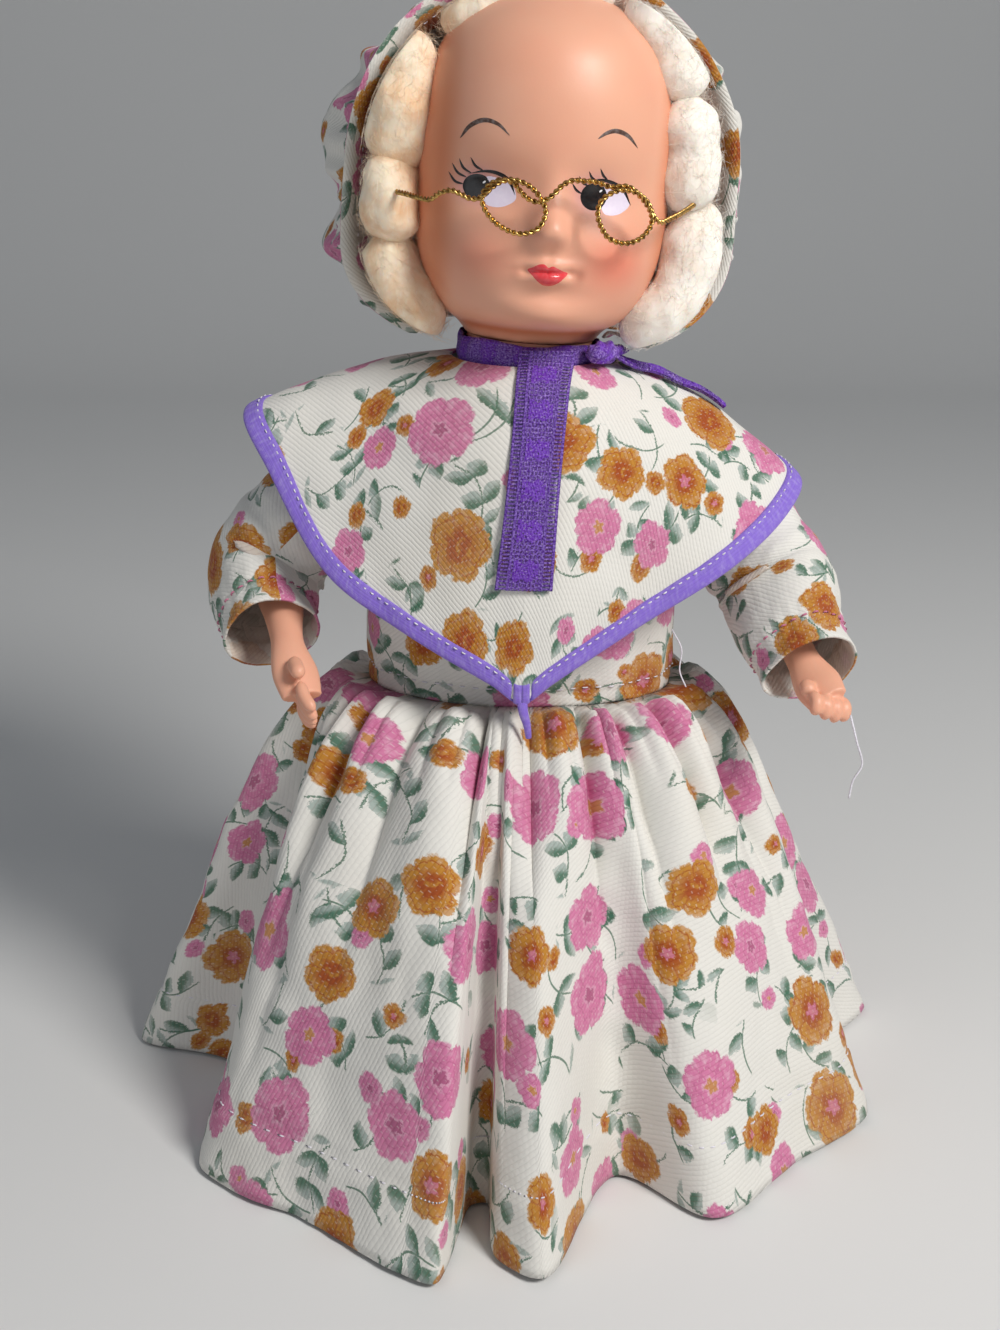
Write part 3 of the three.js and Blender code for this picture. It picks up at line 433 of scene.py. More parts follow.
def finish_piece(bm, name, place, materials, body=None, closed=False):
    """Turns a bmesh in millimetres into a piece of the doll."""
    if closed:
        bmesh.ops.recalc_face_normals(bm, faces=bm.faces)
    piece = shown_object(bm, name, place, materials)
    if body:
        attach(piece, body)
    return piece


def thicken(piece, millimetres, offset=0.0, inner_material=0):
    """Gives a sheet its thickness; the inner side may take another material slot."""
    wall = piece.modifiers.new("cloth_wall", "SOLIDIFY")
    wall.thickness = millimetres * MM
    wall.offset = offset
    wall.use_even_offset = False
    wall.material_offset = inner_material


def remesh(piece, voxel, smoothing):
    """Melts a piece's overlapping bodies into one skin and smooths it."""
    melt = piece.modifiers.new("melt", "REMESH")
    melt.mode = "VOXEL"
    melt.voxel_size = voxel * MM
    graph = bpy.context.evaluated_depsgraph_get()
    melted = bpy.data.meshes.new_from_object(piece.evaluated_get(graph))
    piece.modifiers.clear()
    bm = bmesh.new()
    bm.from_mesh(melted)
    for _ in range(smoothing):
        bmesh.ops.smooth_vert(bm, verts=bm.verts, factor=0.5, use_axis_x=True, use_axis_y=True, use_axis_z=True)
    for face in bm.faces:
        face.smooth = True
    bm.to_mesh(piece.data)
    bm.free()
    bpy.data.meshes.remove(melted)


# Node helpers


class Graph:
    """Adds nodes to a tree and joins them. A value is a number, a tuple or another node's output."""

    def __init__(self, tree):
        self.tree = tree

    def put(self, socket, value):
        if isinstance(value, bpy.types.NodeSocket):
            self.tree.links.new(value, socket)
        else:
            socket.default_value = value

    def add(self, kind, inputs=None, **settings):
        node = self.tree.nodes.new(kind)
        for name, value in settings.items():
            setattr(node, name, value)
        for key, value in (inputs or {}).items():
            self.put(node.inputs[key], value)
        return node

    def math(self, operation, a, b=0.0, c=0.0):
        return self.add("ShaderNodeMath", {0: a, 1: b, 2: c}, operation=operation).outputs[0]

    def less(self, a, b):
        return self.math("SUBTRACT", a, b)

    def over(self, a, b):
        return self.math("DIVIDE", a, b)

    def most(self, a, b):
        return self.math("MAXIMUM", a, b)

    def sine(self, a):
        return self.math("SINE", a)

    def absolute(self, a):
        return self.math("ABSOLUTE", a)

    def sum(self, *values):
        total = values[0]
        for value in values[1:]:
            total = self.math("ADD", total, value)
        return total

    def times(self, *values):
        product = values[0]
        for value in values[1:]:
            product = self.math("MULTIPLY", product, value)
        return product

    def vector(self, operation, a, b=(0, 0, 0), scale=1.0):
        node = self.add("ShaderNodeVectorMath", {0: a, 1: b, 3: scale}, operation=operation)
        return node.outputs["Value" if operation in ("LENGTH", "DISTANCE", "DOT_PRODUCT") else "Vector"]

    def split(self, vector):
        parts = self.add("ShaderNodeSeparateXYZ", {0: vector}).outputs
        return parts[0], parts[1], parts[2]

    def join(self, x, y, z=0.0):
        return self.add("ShaderNodeCombineXYZ", {0: x, 1: y, 2: z}).outputs[0]

    def mix(self, factor, a, b):
        return self.add("ShaderNodeMix", {0: factor, 6: a, 7: b}, data_type="RGBA").outputs[2]

    def ease(self, value, low, high):
        """0 before low, 1 after high; the other way round where high is the smaller."""
        return self.add(
            "ShaderNodeMapRange", {"Value": value, "From Min": low, "From Max": high},
            interpolation_type="SMOOTHSTEP").outputs["Result"]

    def noise(self, vector, scale, detail=2.0, roughness=0.5):
        return self.add(
            "ShaderNodeTexNoise",
            {"Vector": vector, "Scale": scale, "Detail": detail, "Roughness": roughness}).outputs[0]

    def millimetres(self, space):
        """Places in millimetres, on the flat cloth for UV and on the piece for Object."""
        return self.vector("SCALE", self.add("ShaderNodeTexCoord").outputs[space], scale=1 / MM)

    def bump(self, height, distance, strength):
        return self.add(
            "ShaderNodeBump", {"Height": height, "Distance": distance, "Strength": strength}).outputs["Normal"]

    def group(self, name, **inputs):
        node = self.add("ShaderNodeGroup", node_tree=GROUPS[name]())
        for key, value in inputs.items():
            self.put(node.inputs[key], value)
        return node.outputs


def make_group(name, inputs, outputs, build):
    """A shader node group with named inputs and outputs; build gives the output values."""
    if name in bpy.data.node_groups:
        return bpy.data.node_groups[name]
    tree = bpy.data.node_groups.new(name, "ShaderNodeTree")
    for label, kind, default in inputs:
        socket = tree.interface.new_socket(name=label, in_out="INPUT", socket_type="NodeSocket" + kind)
        if default is not None:
            socket.default_value = default
    for label, kind in outputs:
        tree.interface.new_socket(name=label, in_out="OUTPUT", socket_type="NodeSocket" + kind)
    g = Graph(tree)
    enter, leave = g.add("NodeGroupInput"), g.add("NodeGroupOutput")
    for label, value in build(g, enter.outputs).items():
        g.put(leave.inputs[label], value)
    return tree


def scatter(g, where, pitch, randomness, shift):
    """One motif to a cell: the place from its centre in millimetres, three random shares and the room it has."""
    scaled = g.vector("SCALE", g.vector("ADD", where, shift), scale=1 / pitch)
    cell = {"Vector": scaled, "Scale": 1.0, "Randomness": randomness}
    near = g.add("ShaderNodeTexVoronoi", cell, voronoi_dimensions="2D", feature="F1")
    room = g.add("ShaderNodeTexVoronoi", cell, voronoi_dimensions="2D", feature="N_SPHERE_RADIUS")
    away = g.vector("SCALE", g.vector("SUBTRACT", scaled, near.outputs["Position"]), scale=pitch)
    chance = g.add("ShaderNodeSeparateColor", {0: near.outputs["Color"]}).outputs
    return away, chance, g.times(room.outputs["Radius"], pitch)


def flower_layer(g, below, where, inks, pitch, randomness, shift, least, most):
    """Prints one flower in each cell over what is below: pink roses, ochre flowers and pink daisies."""
    away, chance, room = scatter(g, where, pitch, randomness, shift)
    x, y, _ = g.split(away)
    reach = g.math("MINIMUM", g.times(room, 0.97), g.math("MULTIPLY_ADD", chance[1], most - least, least))
    angle = g.math("ADD", g.math("ARCTAN2", y, x), g.times(chance[0], TURN))
    wobble = g.noise(g.vector("ADD", away, g.join(chance[0], chance[1])), 0.42, 2.0)
    petals = g.math("POWER", g.absolute(g.sine(g.times(angle, 2.5))), 0.6)
    teeth = g.absolute(g.sine(g.math("MULTIPLY_ADD", angle, 7.5, g.times(wobble, 6.0))))
    rim = g.times(reach, g.sum(0.66, g.times(petals, 0.17), g.times(teeth, 0.07), g.times(wobble, 0.18)))
    share = g.over(g.vector("LENGTH", away), rim)
    soft = g.over(0.35, rim)
    inside = g.ease(share, g.sum(1.0, soft), g.less(1.0, soft))
    between = g.times(g.ease(petals, 0.42, 0.12), g.ease(share, 0.22, 0.5))
    ripple = g.sum(share, g.times(wobble, 0.3), g.times(g.sine(g.times(angle, 5.0)), 0.05))
    fold = g.math("PINGPONG", g.sum(ripple, g.times(chance[2], 0.3)), 0.24)
    creases = g.times(g.ease(fold, 0.2, 0.235), g.ease(share, 0.1, 0.3))
    lines = g.most(g.times(between, 0.8), creases)
    heart = g.ease(g.less(ripple, 0.15), 0.26, 0.18)
    light = g.times(g.ease(wobble, 0.46, 0.66), g.ease(share, 0.35, 0.8), 0.55)

    rose = g.mix(light, inks["Pink"], inks["Pale Pink"])
    rose = g.mix(g.times(lines, 0.4), rose, inks["Deep Pink"])
    centre = g.mix(g.ease(g.math("FRACT", g.times(chance[0], 7.0)), 0.52, 0.5), inks["Ochre"], inks["Deep Pink"])
    ring = g.times(g.ease(ripple, 0.5, 0.38), 0.6)
    rose = g.mix(g.times(heart, 0.85), g.mix(ring, rose, inks["Pale Pink"]), centre)
    mum = g.mix(light, inks["Ochre"], inks["Pale Ochre"])
    mum = g.mix(g.times(lines, 0.7), mum, inks["Brown"])
    glow = g.times(g.ease(share, 0.8, 0.25), g.ease(wobble, 0.34, 0.52), 0.9)
    mum = g.mix(glow, mum, inks["Brown"])
    pinked = g.ease(g.math("FRACT", g.times(chance[0], 5.0)), 0.5, 0.52)
    mum = g.mix(g.times(heart, pinked, 0.65), mum, inks["Pink"])
    kind = g.ease(chance[2], 0.5, 0.502)
    return g.mix(inside, below, g.mix(kind, rose, mum)), inside


def sprig_layer(g, below, where, inks, pitch, shift, gap):
    """Prints a curved stem with pairs of leaves in each cell over what is below."""
    away, chance, room = scatter(g, where, pitch, 0.85, shift)
    turned = g.add(
        "ShaderNodeVectorRotate", {"Vector": away, "Angle": g.times(chance[0], TURN)},
        rotation_type="Z_AXIS").outputs[0]
    x, y, _ = g.split(turned)
    off = g.sum(y, g.times(x, x, -0.05), 1.2)
    kept = g.ease(g.less(g.vector("LENGTH", away), room), 0.2, -0.5)
    count = g.math("FLOOR", g.over(x, gap))
    along = g.less(x, g.times(g.sum(count, 0.35), gap))
    side = g.math("SIGN", off)
    rise = g.absolute(off)
    ahead = g.sum(g.times(along, 0.62), g.times(rise, 0.78))
    across = g.less(g.times(along, 0.78), g.times(rise, 0.62))
    bulge = g.over(g.less(ahead, 3.5), 3.4)
    edge = g.less(
        g.absolute(across), g.times(g.less(1.0, g.times(bulge, bulge)), 2.15))
    picked = g.add(
        "ShaderNodeTexWhiteNoise", {"Vector": g.join(g.sum(count, g.times(chance[1], 90.0)), side)},
        noise_dimensions="2D").outputs["Value"]
    leaf = g.times(g.ease(edge, 0.25, -0.3), g.ease(picked, 0.46, 0.48), kept)
    stem = g.times(g.ease(rise, 0.34, 0.16), kept, g.ease(g.absolute(x), 8.5, 7.5), 0.85)
    lit = g.ease(g.sum(across, g.times(bulge, 0.8)), -0.9, 1.1)
    green = g.mix(g.times(lit, 0.9), inks["Leaf"], inks["Pale Leaf"])
    printed = g.mix(stem, below, inks["Leaf"])
    fading = g.sum(0.62, g.times(g.ease(bulge, 0.9, 0.0), 0.32))
    return g.mix(g.times(leaf, fading), printed, green), g.most(leaf, stem)


PRINT_INKS = ("Ground", "Pink", "Pale Pink", "Deep Pink", "Ochre", "Pale Ochre", "Brown", "Leaf", "Pale Leaf")


def print_group():
    """Roses, ochre flowers, buds and leafy sprigs on an off-white ground, in millimetres of flat cloth."""
    def build(g, given):
        inks = {name: given[name] for name in PRINT_INKS}
        drift = g.noise(given["Vector"], 0.11, 1.0)
        bleed = g.less(g.noise(given["Vector"], 1.5, 2.0, 0.7), 0.5)
        where = g.vector("ADD", given["Vector"], g.join(
            g.sum(g.times(drift, 3.0), g.times(bleed, 1.5)), g.sum(g.times(drift, -2.0), g.times(bleed, -1.3))))
        look, leaves = sprig_layer(g, given["Ground"], where, inks, 17.5, (3.0, 11.0, 0.0), 6.0)
        look, more = sprig_layer(g, look, where, inks, 21.5, (41.0, 27.0, 0.0), 6.6)
        look, buds = flower_layer(g, look, where, inks, 22.0, 0.9, (13.0, 5.0, 0.0), 2.8, 4.0)
        look, blooms = flower_layer(g, look, where, inks, 24.5, 0.74, (0.0, 0.0, 0.0), 6.4, 11.4)
        printed = g.most(g.most(leaves, more), g.most(buds, blooms))
        return {"Color": look, "Printed": printed}
    return make_group(
        "calico_print", [("Vector", "Vector", None)] + [(name, "Color", None) for name in PRINT_INKS],
        [("Color", "Color"), ("Printed", "Float")], build)


def twill_group():
    """Diagonal ribs of woven cotton: the height of the yarns and where white yarn shows through a print."""
    def build(g, given):
        x, y, _ = g.split(given["Vector"])
        waver = g.times(g.noise(given["Vector"], 0.3, 2.0), 0.5)
        across = g.over(g.sum(g.times(x, 0.60), g.times(y, -0.80), waver), given["Rib"])
        along = g.over(g.sum(g.times(x, 0.80), g.times(y, 0.60)), g.times(given["Rib"], 1.55))
        rib = g.math("FLOOR", across)
        run = g.math("FRACT", g.sum(along, g.times(rib, 0.38)))
        crown = g.sine(g.times(g.math("FRACT", across), math.pi))
        yarn = g.sine(g.times(run, math.pi))
        height = g.times(g.math("POWER", crown, 0.7), g.sum(0.55, g.times(g.math("POWER", yarn, 0.6), 0.45)))
        chance = g.noise(given["Vector"], 0.9, 2.0)
        show = g.times(g.ease(yarn, 0.36, 0.06), g.ease(crown, 0.3, 0.8), g.ease(chance, 0.36, 0.6))
        return {"Height": height, "Show": show}
    return make_group(
        "twill_weave", [("Vector", "Vector", None), ("Rib", "Float", 1.15)],
        [("Height", "Float"), ("Show", "Float")], build)


def lace_group():
    """Machine lace in millimetres across and along: railed edges, a fine net and solid blocks down the middle."""
    def build(g, given):
        x, y, _ = g.split(given["Vector"])
        half = given["Half Width"]
        aside = g.absolute(x)
        inset = g.less(half, aside)
        net = g.add(
            "ShaderNodeTexVoronoi",
            {"Vector": g.vector("MULTIPLY", given["Vector"], (1.0, 0.8, 0)), "Scale": 1.0, "Randomness": 0.4},
            voronoi_dimensions="2D", feature="DISTANCE_TO_EDGE").outputs["Distance"]
        mesh = g.ease(net, 0.22, 0.12)
        place = g.math("PINGPONG", y, 5.2)
        waver = g.times(g.sine(g.times(x, 1.7)), 0.5)
        block = g.times(
            g.ease(g.sum(place, waver), 2.4, 2.9), g.ease(aside, g.less(half, 3.9), g.less(half, 4.3)))
        ribs = g.absolute(g.sine(g.times(g.sum(x, g.times(y, 0.4)), math.pi / 0.8)))
        dense = g.times(block, g.ease(g.noise(given["Vector"], 1.3, 2.0), 0.64, 0.58))
        border = g.ease(inset, 3.3, 3.1)
        rails = g.most(*(g.ease(g.absolute(g.less(inset, rail)), 0.5, 0.35) for rail in (0.45, 3.2)))
        rung = g.absolute(g.less(g.math("FRACT", g.over(y, 1.0)), 0.5))
        loops = g.times(g.ease(rung, 0.3, 0.18), border)
        centre = g.less(1.0, border)
        pale = g.times(g.ease(g.noise(given["Vector"], 1.5, 2.0, 0.7), 0.58, 0.68), g.less(1.0, rails))
        cover = g.most(g.most(g.times(mesh, centre), dense), g.most(loops, rails))
        held = g.most(cover, g.sum(0.24, g.times(centre, 0.3)))
        height = g.sum(
            g.times(dense, g.sum(0.5, g.times(ribs, 0.3))), g.times(mesh, 0.35), g.times(loops, 0.5), rails)
        return {"Cover": held, "Height": height, "Dense": dense, "Pale": pale}
    return make_group(
        "machine_lace", [("Vector", "Vector", None), ("Half Width", "Float", 7.5)],
        [("Cover", "Float"), ("Height", "Float"), ("Dense", "Float"), ("Pale", "Float")], build)


GROUPS = {"print": print_group, "twill": twill_group, "lace": lace_group}


def material(name, build, **shader_values):
    """A material with one Principled shader: build links what changes over the surface."""
    if name in bpy.data.materials:
        return bpy.data.materials[name]
    made = bpy.data.materials.new(name)
    made.use_nodes = True
    g = Graph(made.node_tree)
    shader = made.node_tree.nodes["Principled BSDF"]
    for key, value in shader_values.items():
        shader.inputs[key.replace("_", " ")].default_value = value
    for key, value in build(g).items():
        g.put(shader.inputs[key], value)
    return made


def mixed(a, b, share):
    return tuple(lerp(p, q, share) for p, q in zip(a, b))


def print_cotton(name="print_cotton", fade=0.0):
    """Printed twill cotton; fade gives the paler reverse."""
    def build(g):
        where = g.millimetres("UV")
        inks = {name: paint(name.lower()) for name in ("Ground", "Pink", "Ochre", "Brown", "Leaf")}
        inks["Deep Pink"] = mixed(inks["Pink"], shade(150, 50, 100), 0.75)
        for name, paler in (("Pink", 0.32), ("Ochre", 0.22), ("Leaf", 0.36)):
            inks["Pale " + name] = mixed(inks[name], WHITE, paler)
        if fade:
            inks = {key: mixed(value, paint("ground"), fade) for key, value in inks.items()}
        motif = g.group("print", Vector=where, **inks)
        twill = g.group("twill", Vector=where)
        shown = g.times(twill["Show"], motif["Printed"], 0.36)
        look = g.mix(shown, motif["Color"], paint("ground"))
        # Painted shade in the valleys of the twill weave, darker on the print.
        deep = g.mix(motif["Printed"], mixed(paint("ground"), BLACK, 0.35), mixed(paint("brown"), BLACK, 0.3))
        look = g.mix(g.times(g.ease(twill["Height"], 0.5, 0.0), 0.2), look, deep)
        soil = g.times(g.ease(g.noise(where, 0.02, 3.0), 0.45, 0.75), 0.1)
        look = g.mix(soil, look, shade(196, 182, 156))
        height = g.sum(twill["Height"], g.times(g.noise(where, 2.4, 2.0), 0.3))
        return {"Base Color": look, "Normal": g.bump(height, 0.00013, 0.8),
                "Roughness": g.math("MULTIPLY_ADD", twill["Height"], -0.1, 0.92)}
    return material(name, build, Sheen_Weight=0.12, Sheen_Roughness=0.5, Specular_IOR_Level=0.25)


def doll_plastic(name="doll_plastic", face=False):
    """Satin moulded plastic; the face also has its blush, a lilac halo round the eyes, and painted shade: orange at
    its sides by the hair and under the chin, brown in the dimples.
    """
    def build(g):
        where = g.millimetres("Object")
        cloud = g.noise(where, 0.05, 3.0)
        look = g.mix(g.ease(cloud, 0.3, 0.7), paint("plastic"), mixed(paint("plastic"), paint("blush"), 0.12))
        if face:
            # Painted blush and halo, and painted shade: orange at the face's sides and under the chin, brown in the
            # dimples.
            tints = {"blush": (0.78, paint("blush")), "warm_shade": (0.85, shade(212, 116, 66)),
                     "halo": (0.6, shade(176, 122, 150)), "dimple_shade": (0.5, shade(150, 78, 58))}
            marks = [g.add("ShaderNodeAttribute", attribute_name=name).outputs["Fac"] for name in tints]
            for mark, (strength, tint) in zip(marks, tints.values()):
                look = g.mix(g.times(mark, strength), look, tint)
        fine = g.noise(where, 1.6, 3.0)
        return {"Base Color": look, "Roughness": g.math("MULTIPLY_ADD", fine, 0.14, 0.36),
                "Normal": g.bump(fine, 0.00004, 0.5)}
    return material(name, build, Subsurface_Weight=0.08, Subsurface_Scale=0.003, Specular_IOR_Level=0.42)


def plain_paint(name, base, roughness, wear=0.12):
    """Painted film with slightly uneven cover."""
    def build(g):
        where = g.millimetres("Object")
        uneven = g.noise(where, 0.9, 3.0)
        lighter = mixed(base, WHITE, wear)
        return {"Base Color": g.mix(g.ease(uneven, 0.35, 0.75), base, lighter),
                "Normal": g.bump(uneven, 0.00003, 0.4)}
    return material(name, build, Roughness=roughness)


def tape_cloth():
    """Close-woven cotton tape."""
    def build(g):
        where = g.millimetres("UV")
        x, y, _ = g.split(where)
        warp = g.absolute(g.sine(g.times(x, TURN / 0.62)))
        weft = g.absolute(g.sine(g.times(y, TURN / 0.7)))
        height = g.most(warp, weft)
        fuzz = g.noise(where, 0.8, 3.0)
        tape = paint("tape")
        # Painted shade between the threads of the weave.
        look = g.mix(g.times(g.ease(height, 0.75, 0.2), 0.35), tape, mixed(tape, BLACK, 0.5))
        look = g.mix(g.times(g.ease(fuzz, 0.4, 0.8), 0.22), look, mixed(tape, WHITE, 0.6))
        return {"Base Color": look, "Normal": g.bump(g.sum(height, fuzz), 0.00012, 0.7)}
    return material("binding_tape", build, Roughness=0.85, Sheen_Weight=0.1)


def thread_cloth(name="sewing_thread", base=None):
    """Twisted sewing thread."""
    tint = base or paint("thread")

    def build(g):
        where = g.millimetres("Object")
        twist = g.noise(where, 3.0, 2.0)
        return {"Base Color": g.mix(g.ease(twist, 0.35, 0.7), tint, mixed(tint, BLACK, 0.25)),
                "Normal": g.bump(twist, 0.0001, 0.6)}
    return material(name, build, Roughness=0.8, Sheen_Weight=0.2)


def lace_cloth(name, half_width, see_through=True):
    """Purple machine lace with its net cut away."""
    def build(g):
        where = g.millimetres("UV")
        lace = g.group("lace", Vector=where, **{"Half Width": half_width})
        yarn = g.noise(where, 1.8, 3.0)
        deep, pale = mixed(paint("lace"), BLACK, 0.5), mixed(paint("lace"), WHITE, 0.16)
        look = g.mix(g.ease(yarn, 0.35, 0.7), deep, pale)
        look = g.mix(g.times(lace["Dense"], 0.5), look, paint("lace"))
        look = g.mix(g.times(lace["Pale"], 0.6), look, shade(190, 168, 214))
        found = {"Base Color": look, "Normal": g.bump(g.sum(lace["Height"], g.times(yarn, 0.4)), 0.00025, 0.9)}
        if see_through:
            found["Alpha"] = lace["Cover"]
        return found
    return material(name, build, Roughness=0.75, Sheen_Weight=0.04)


def cotton_wool():
    """Carded cotton wool: cream, matted in clouds, with finer fibres, and a darker tan painted shade on the side away
    from the window lamp.
    """
    def build(g):
        where = g.millimetres("Object")
        cloud = g.noise(where, 0.11, 3.0, 0.55)
        fibre = g.noise(g.vector("MULTIPLY", where, (2.2, 2.2, 0.5)), 0.9, 4.0, 0.65)
        tan = mixed(paint("cotton"), shade(206, 160, 108), 0.22)
        look = g.mix(g.ease(cloud, 0.28, 0.58), tan, paint("cotton"))
        # Painted shade: the hair on the side away from the window lamp is darker and tan.
        shaded_side = g.ease(g.split(where)[0], 22, -26)
        warm_shade = g.mix(g.ease(cloud, 0.3, 0.65), shade(243, 201, 156), shade(255, 236, 208))
        look = g.mix(g.times(shaded_side, 0.9), look, warm_shade)
        look = g.mix(g.times(g.ease(fibre, 0.5, 0.7), 0.3), look, mixed(paint("cotton"), WHITE, 0.25))
        return {"Base Color": look, "Normal": g.bump(fibre, 0.00012, 0.5)}
    return material("carded_wool", build, Roughness=1.0, Sheen_Weight=0.06, Sheen_Roughness=0.6,
                    Subsurface_Weight=0.15, Subsurface_Scale=0.004, Specular_IOR_Level=0.1)


def gold_wire():
    """Brass-coloured wire, a little dulled in patches."""
    def build(g):
        where = g.millimetres("Object")
        tarnish = g.noise(where, 0.7, 3.0)
        look = g.mix(g.ease(tarnish, 0.42, 0.7), paint("gold"), shade(122, 90, 48))
        return {"Base Color": look, "Roughness": g.math("MULTIPLY_ADD", tarnish, 0.25, 0.18)}
    return material("twisted_brass", build, Metallic=1.0)


# Skirt

# Folds of the hem as azimuth in degrees and millimetres out from the hem radius
HEM_FOLDS = [
    (-178, 0), (-167.5, -28), (-139, -3), (-119, -4), (-103.5, 6), (-99.2, 8.3), (-98.4, 3), (-97.9, -12),
    (-97, -24), (-94.2, -25.5), (-93.3, -19), (-92.6, -7), (-91.4, -2), (-86.3, 4.5), (-69, -33),
    (-60.4, -5.5), (-41.7, -9), (-23.6, -1.7), (-5.1, -15), (8.8, 1.3), (24, -17), (40, -1), (52, -22),
    (66, 2), (79, -24), (91, 6), (106, -25), (119, 1), (133, -22), (147, -2), (163, -21),
]
HEM_FOLD_DEPTH = 9
HEM_CLEARANCE = 1
SEAM_GAP = 0.3
WAIST_DEPTH_SHARE = 0.96
SKIRT_DROP = 125
LOWEST_CLOTH = 0.7
GATHERS, FINE_GATHERS, PLEATS = 23, 58, 11
# The flat skirt is a fan: its turn, the reach of its waist, its drop and the marks that share out the hem
FAN_TURN, FAN_TOP, FAN_DROP, FAN_MARKS = 4.6, 65.0, 126.0, 60


def waist_height():
    return size("hip_height") + size("waist_rise")


def hem_seam():
    """Share of the skirt's fall where the hem that is turned up ends."""
    return 1 - size("hem_depth") / SKIRT_DROP


@lru_cache(maxsize=None)
def hem_curve():
    radius = size("hem_radius")
    return Spline([
        (math.cos(math.radians(a)) * (radius + out), math.sin(math.radians(a)) * (radius + out), 0)
        for a, out in HEM_FOLDS], closed=True)


@lru_cache(maxsize=None)
def skirt_column(k):
    """What all places of the skirt above one place of the hem share."""
    hem = hem_curve().at(k % 1)
    azimuth = math.atan2(hem.y, hem.x)
    waist = Matrix.Rotation(BODY_LEAN, 3, "Y") @ Vector((
        math.cos(azimuth) * size("bodice_half_width"),
        math.sin(azimuth) * size("bodice_half_depth") * WAIST_DEPTH_SHARE, waist_height() - SEAM_GAP))
    ring = heading(azimuth)
    wander = noise.noise(ring * 2.3 + Vector((0, 0, 5)))
    reach = 0.5 + 0.5 * noise.noise(ring * 6.1 + Vector((0, 0, 9)))
    gather = crests(GATHERS * azimuth + 3.2 * wander + 0.8)
    fine = crests(FINE_GATHERS * azimuth + 6 * wander)
    pleat = crests(PLEATS * azimuth + 2.6 * wander + 2.2)
    return hem, waist, ring, reach, gather, fine, pleat


def skirt_point(k, fall):
    """A place on the skirt: k runs round the hem folds, fall from 0 at the waist to 1 at the hem."""
    hem, waist, ring, reach, gather, fine, pleat = skirt_column(k)
    mean = size("hem_radius") - HEM_FOLD_DEPTH

    def base(drop):
        spread = drop**0.62
        out = mean * spread + (math.hypot(hem.x, hem.y) - mean) * drop**0.85
        return Vector((waist.x, waist.y, 0)) * (1 - spread) + ring * out + UP * lerp(waist.z, HEM_CLEARANCE, drop)
    here = base(fall)
    ahead = base(min(fall + 0.01, 1)) - base(max(fall - 0.01, 0))
    rise, run = ahead.z, ahead.dot(ring)
    out = (ring * -rise + UP * run).normalized()
    depth = size("gather_depth")
    top = ease(fall, 0, 0.025)
    lift = gather * depth * 1.45 * top * (1 - ease(fall, 0.1 + 0.12 * reach, 0.3 + 0.5 * reach))
    lift += fine * depth * 0.4 * top * (1 - ease(fall, 0.03 + 0.05 * reach, 0.1 + 0.2 * reach))
    lift += pleat * depth * 0.9 * ease(fall, 0.03, 0.2) * (1 - ease(fall, 0.3 + 0.3 * reach, 0.8 + 0.2 * reach))
    lift += 1.2 * top * (1 - ease(fall, 0.08, 0.2))
    lift += rough(here.x, here.y, here.z, 26) * 1.5 * ease(fall, 0.1, 0.4)
    lift += rough(here.x, here.y, here.z + 40, 8, 2) * 0.3
    hem_line = hem_seam()
    lift += 0.5 * ease(fall, hem_line - 0.004, hem_line + 0.012)
    lift -= 0.4 * bell(fall, hem_line, 0.008)
    here += out * lift
    here.z = max(here.z, LOWEST_CLOTH)
    return here, out


def build_skirt(cloth, thread):
    columns, rows = 840, 62
    hem_length = hem_curve().length()
    shares = [hem_curve().lengths[round(i * Spline.DIVISIONS / FAN_MARKS)] / hem_length
              for i in range(FAN_MARKS + 1)]

    def run(s):
        place = s * FAN_MARKS
        i = min(int(place), FAN_MARKS - 1)
        return lerp(shares[i], shares[i + 1], place - i)

    def flat(s, t):
        turn = (run(s) - 0.27) * FAN_TURN
        reach = FAN_TOP + (1 - t) * FAN_DROP
        return math.sin(turn) * reach + 300, math.cos(turn) * -reach + 300

    bm = bmesh.new()
    surface(bm, columns, rows, lambda s, t: skirt_point(s, (1 - t) ** 1.15)[0], flat)
    skirt = finish_piece(bm, "skirt_cloth", Matrix(), cloth, "torso")
    thicken(skirt, size("cloth_thickness"), 0.0, 1)
    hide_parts("skirt")

    def sewn(u):
        here, out = skirt_point(u, hem_seam())
        return here + out * 0.45, out

    bm = bmesh.new()
    stitches(bm, sewn, hem_length, size("stitch_length") * 1.15, 0.62, 0.24)
    seam = finish_piece(bm, "hem_stitches", Matrix(), thread, "torso")


# Bodice

BODICE_KEYS = [
    (0, 1, 0.96), (0.2, 1.01, 1), (0.45, 1, 1.03), (0.68, 0.97, 1), (0.85, 0.88, 0.92), (0.93, 0.7, 0.84)]
NECK_SHELL = 18.9
NECK_DROP = 0.9
ARMHOLE = 16.8
ARMHOLE_START = 28


def bodice_place(azimuth, level):
    half_width, half_depth = size("bodice_half_width"), size("bodice_half_depth")
    keys = [(x, half_width * w, half_depth * d) for x, w, d in BODICE_KEYS] + [(1, NECK_SHELL, NECK_SHELL)]
    w, d = curve_through(keys)(level)
    z = lerp(waist_height(), neck_height() - NECK_DROP, level)
    x, y = math.cos(azimuth), math.sin(azimuth)
    here = Vector((x * w, y * d, z))
    lift = 0.35 * rough(here.x, here.y, z, 14)
    lift -= 0.5 * bell(level, 0.045, 0.012)
    placket = abs(azimuth - math.pi / 2 - 0.12)
    lift += 0.7 * (1 - ease(placket, 0.12, 0.15)) if level < 0.9 else 0
    lift += 0.5 * math.sin(azimuth * 14 + 2) * (1 - ease(level, 0.05, 0.3)) * ease(level, 0.0, 0.05)
    return here + Vector((x, y, 0)) * lift


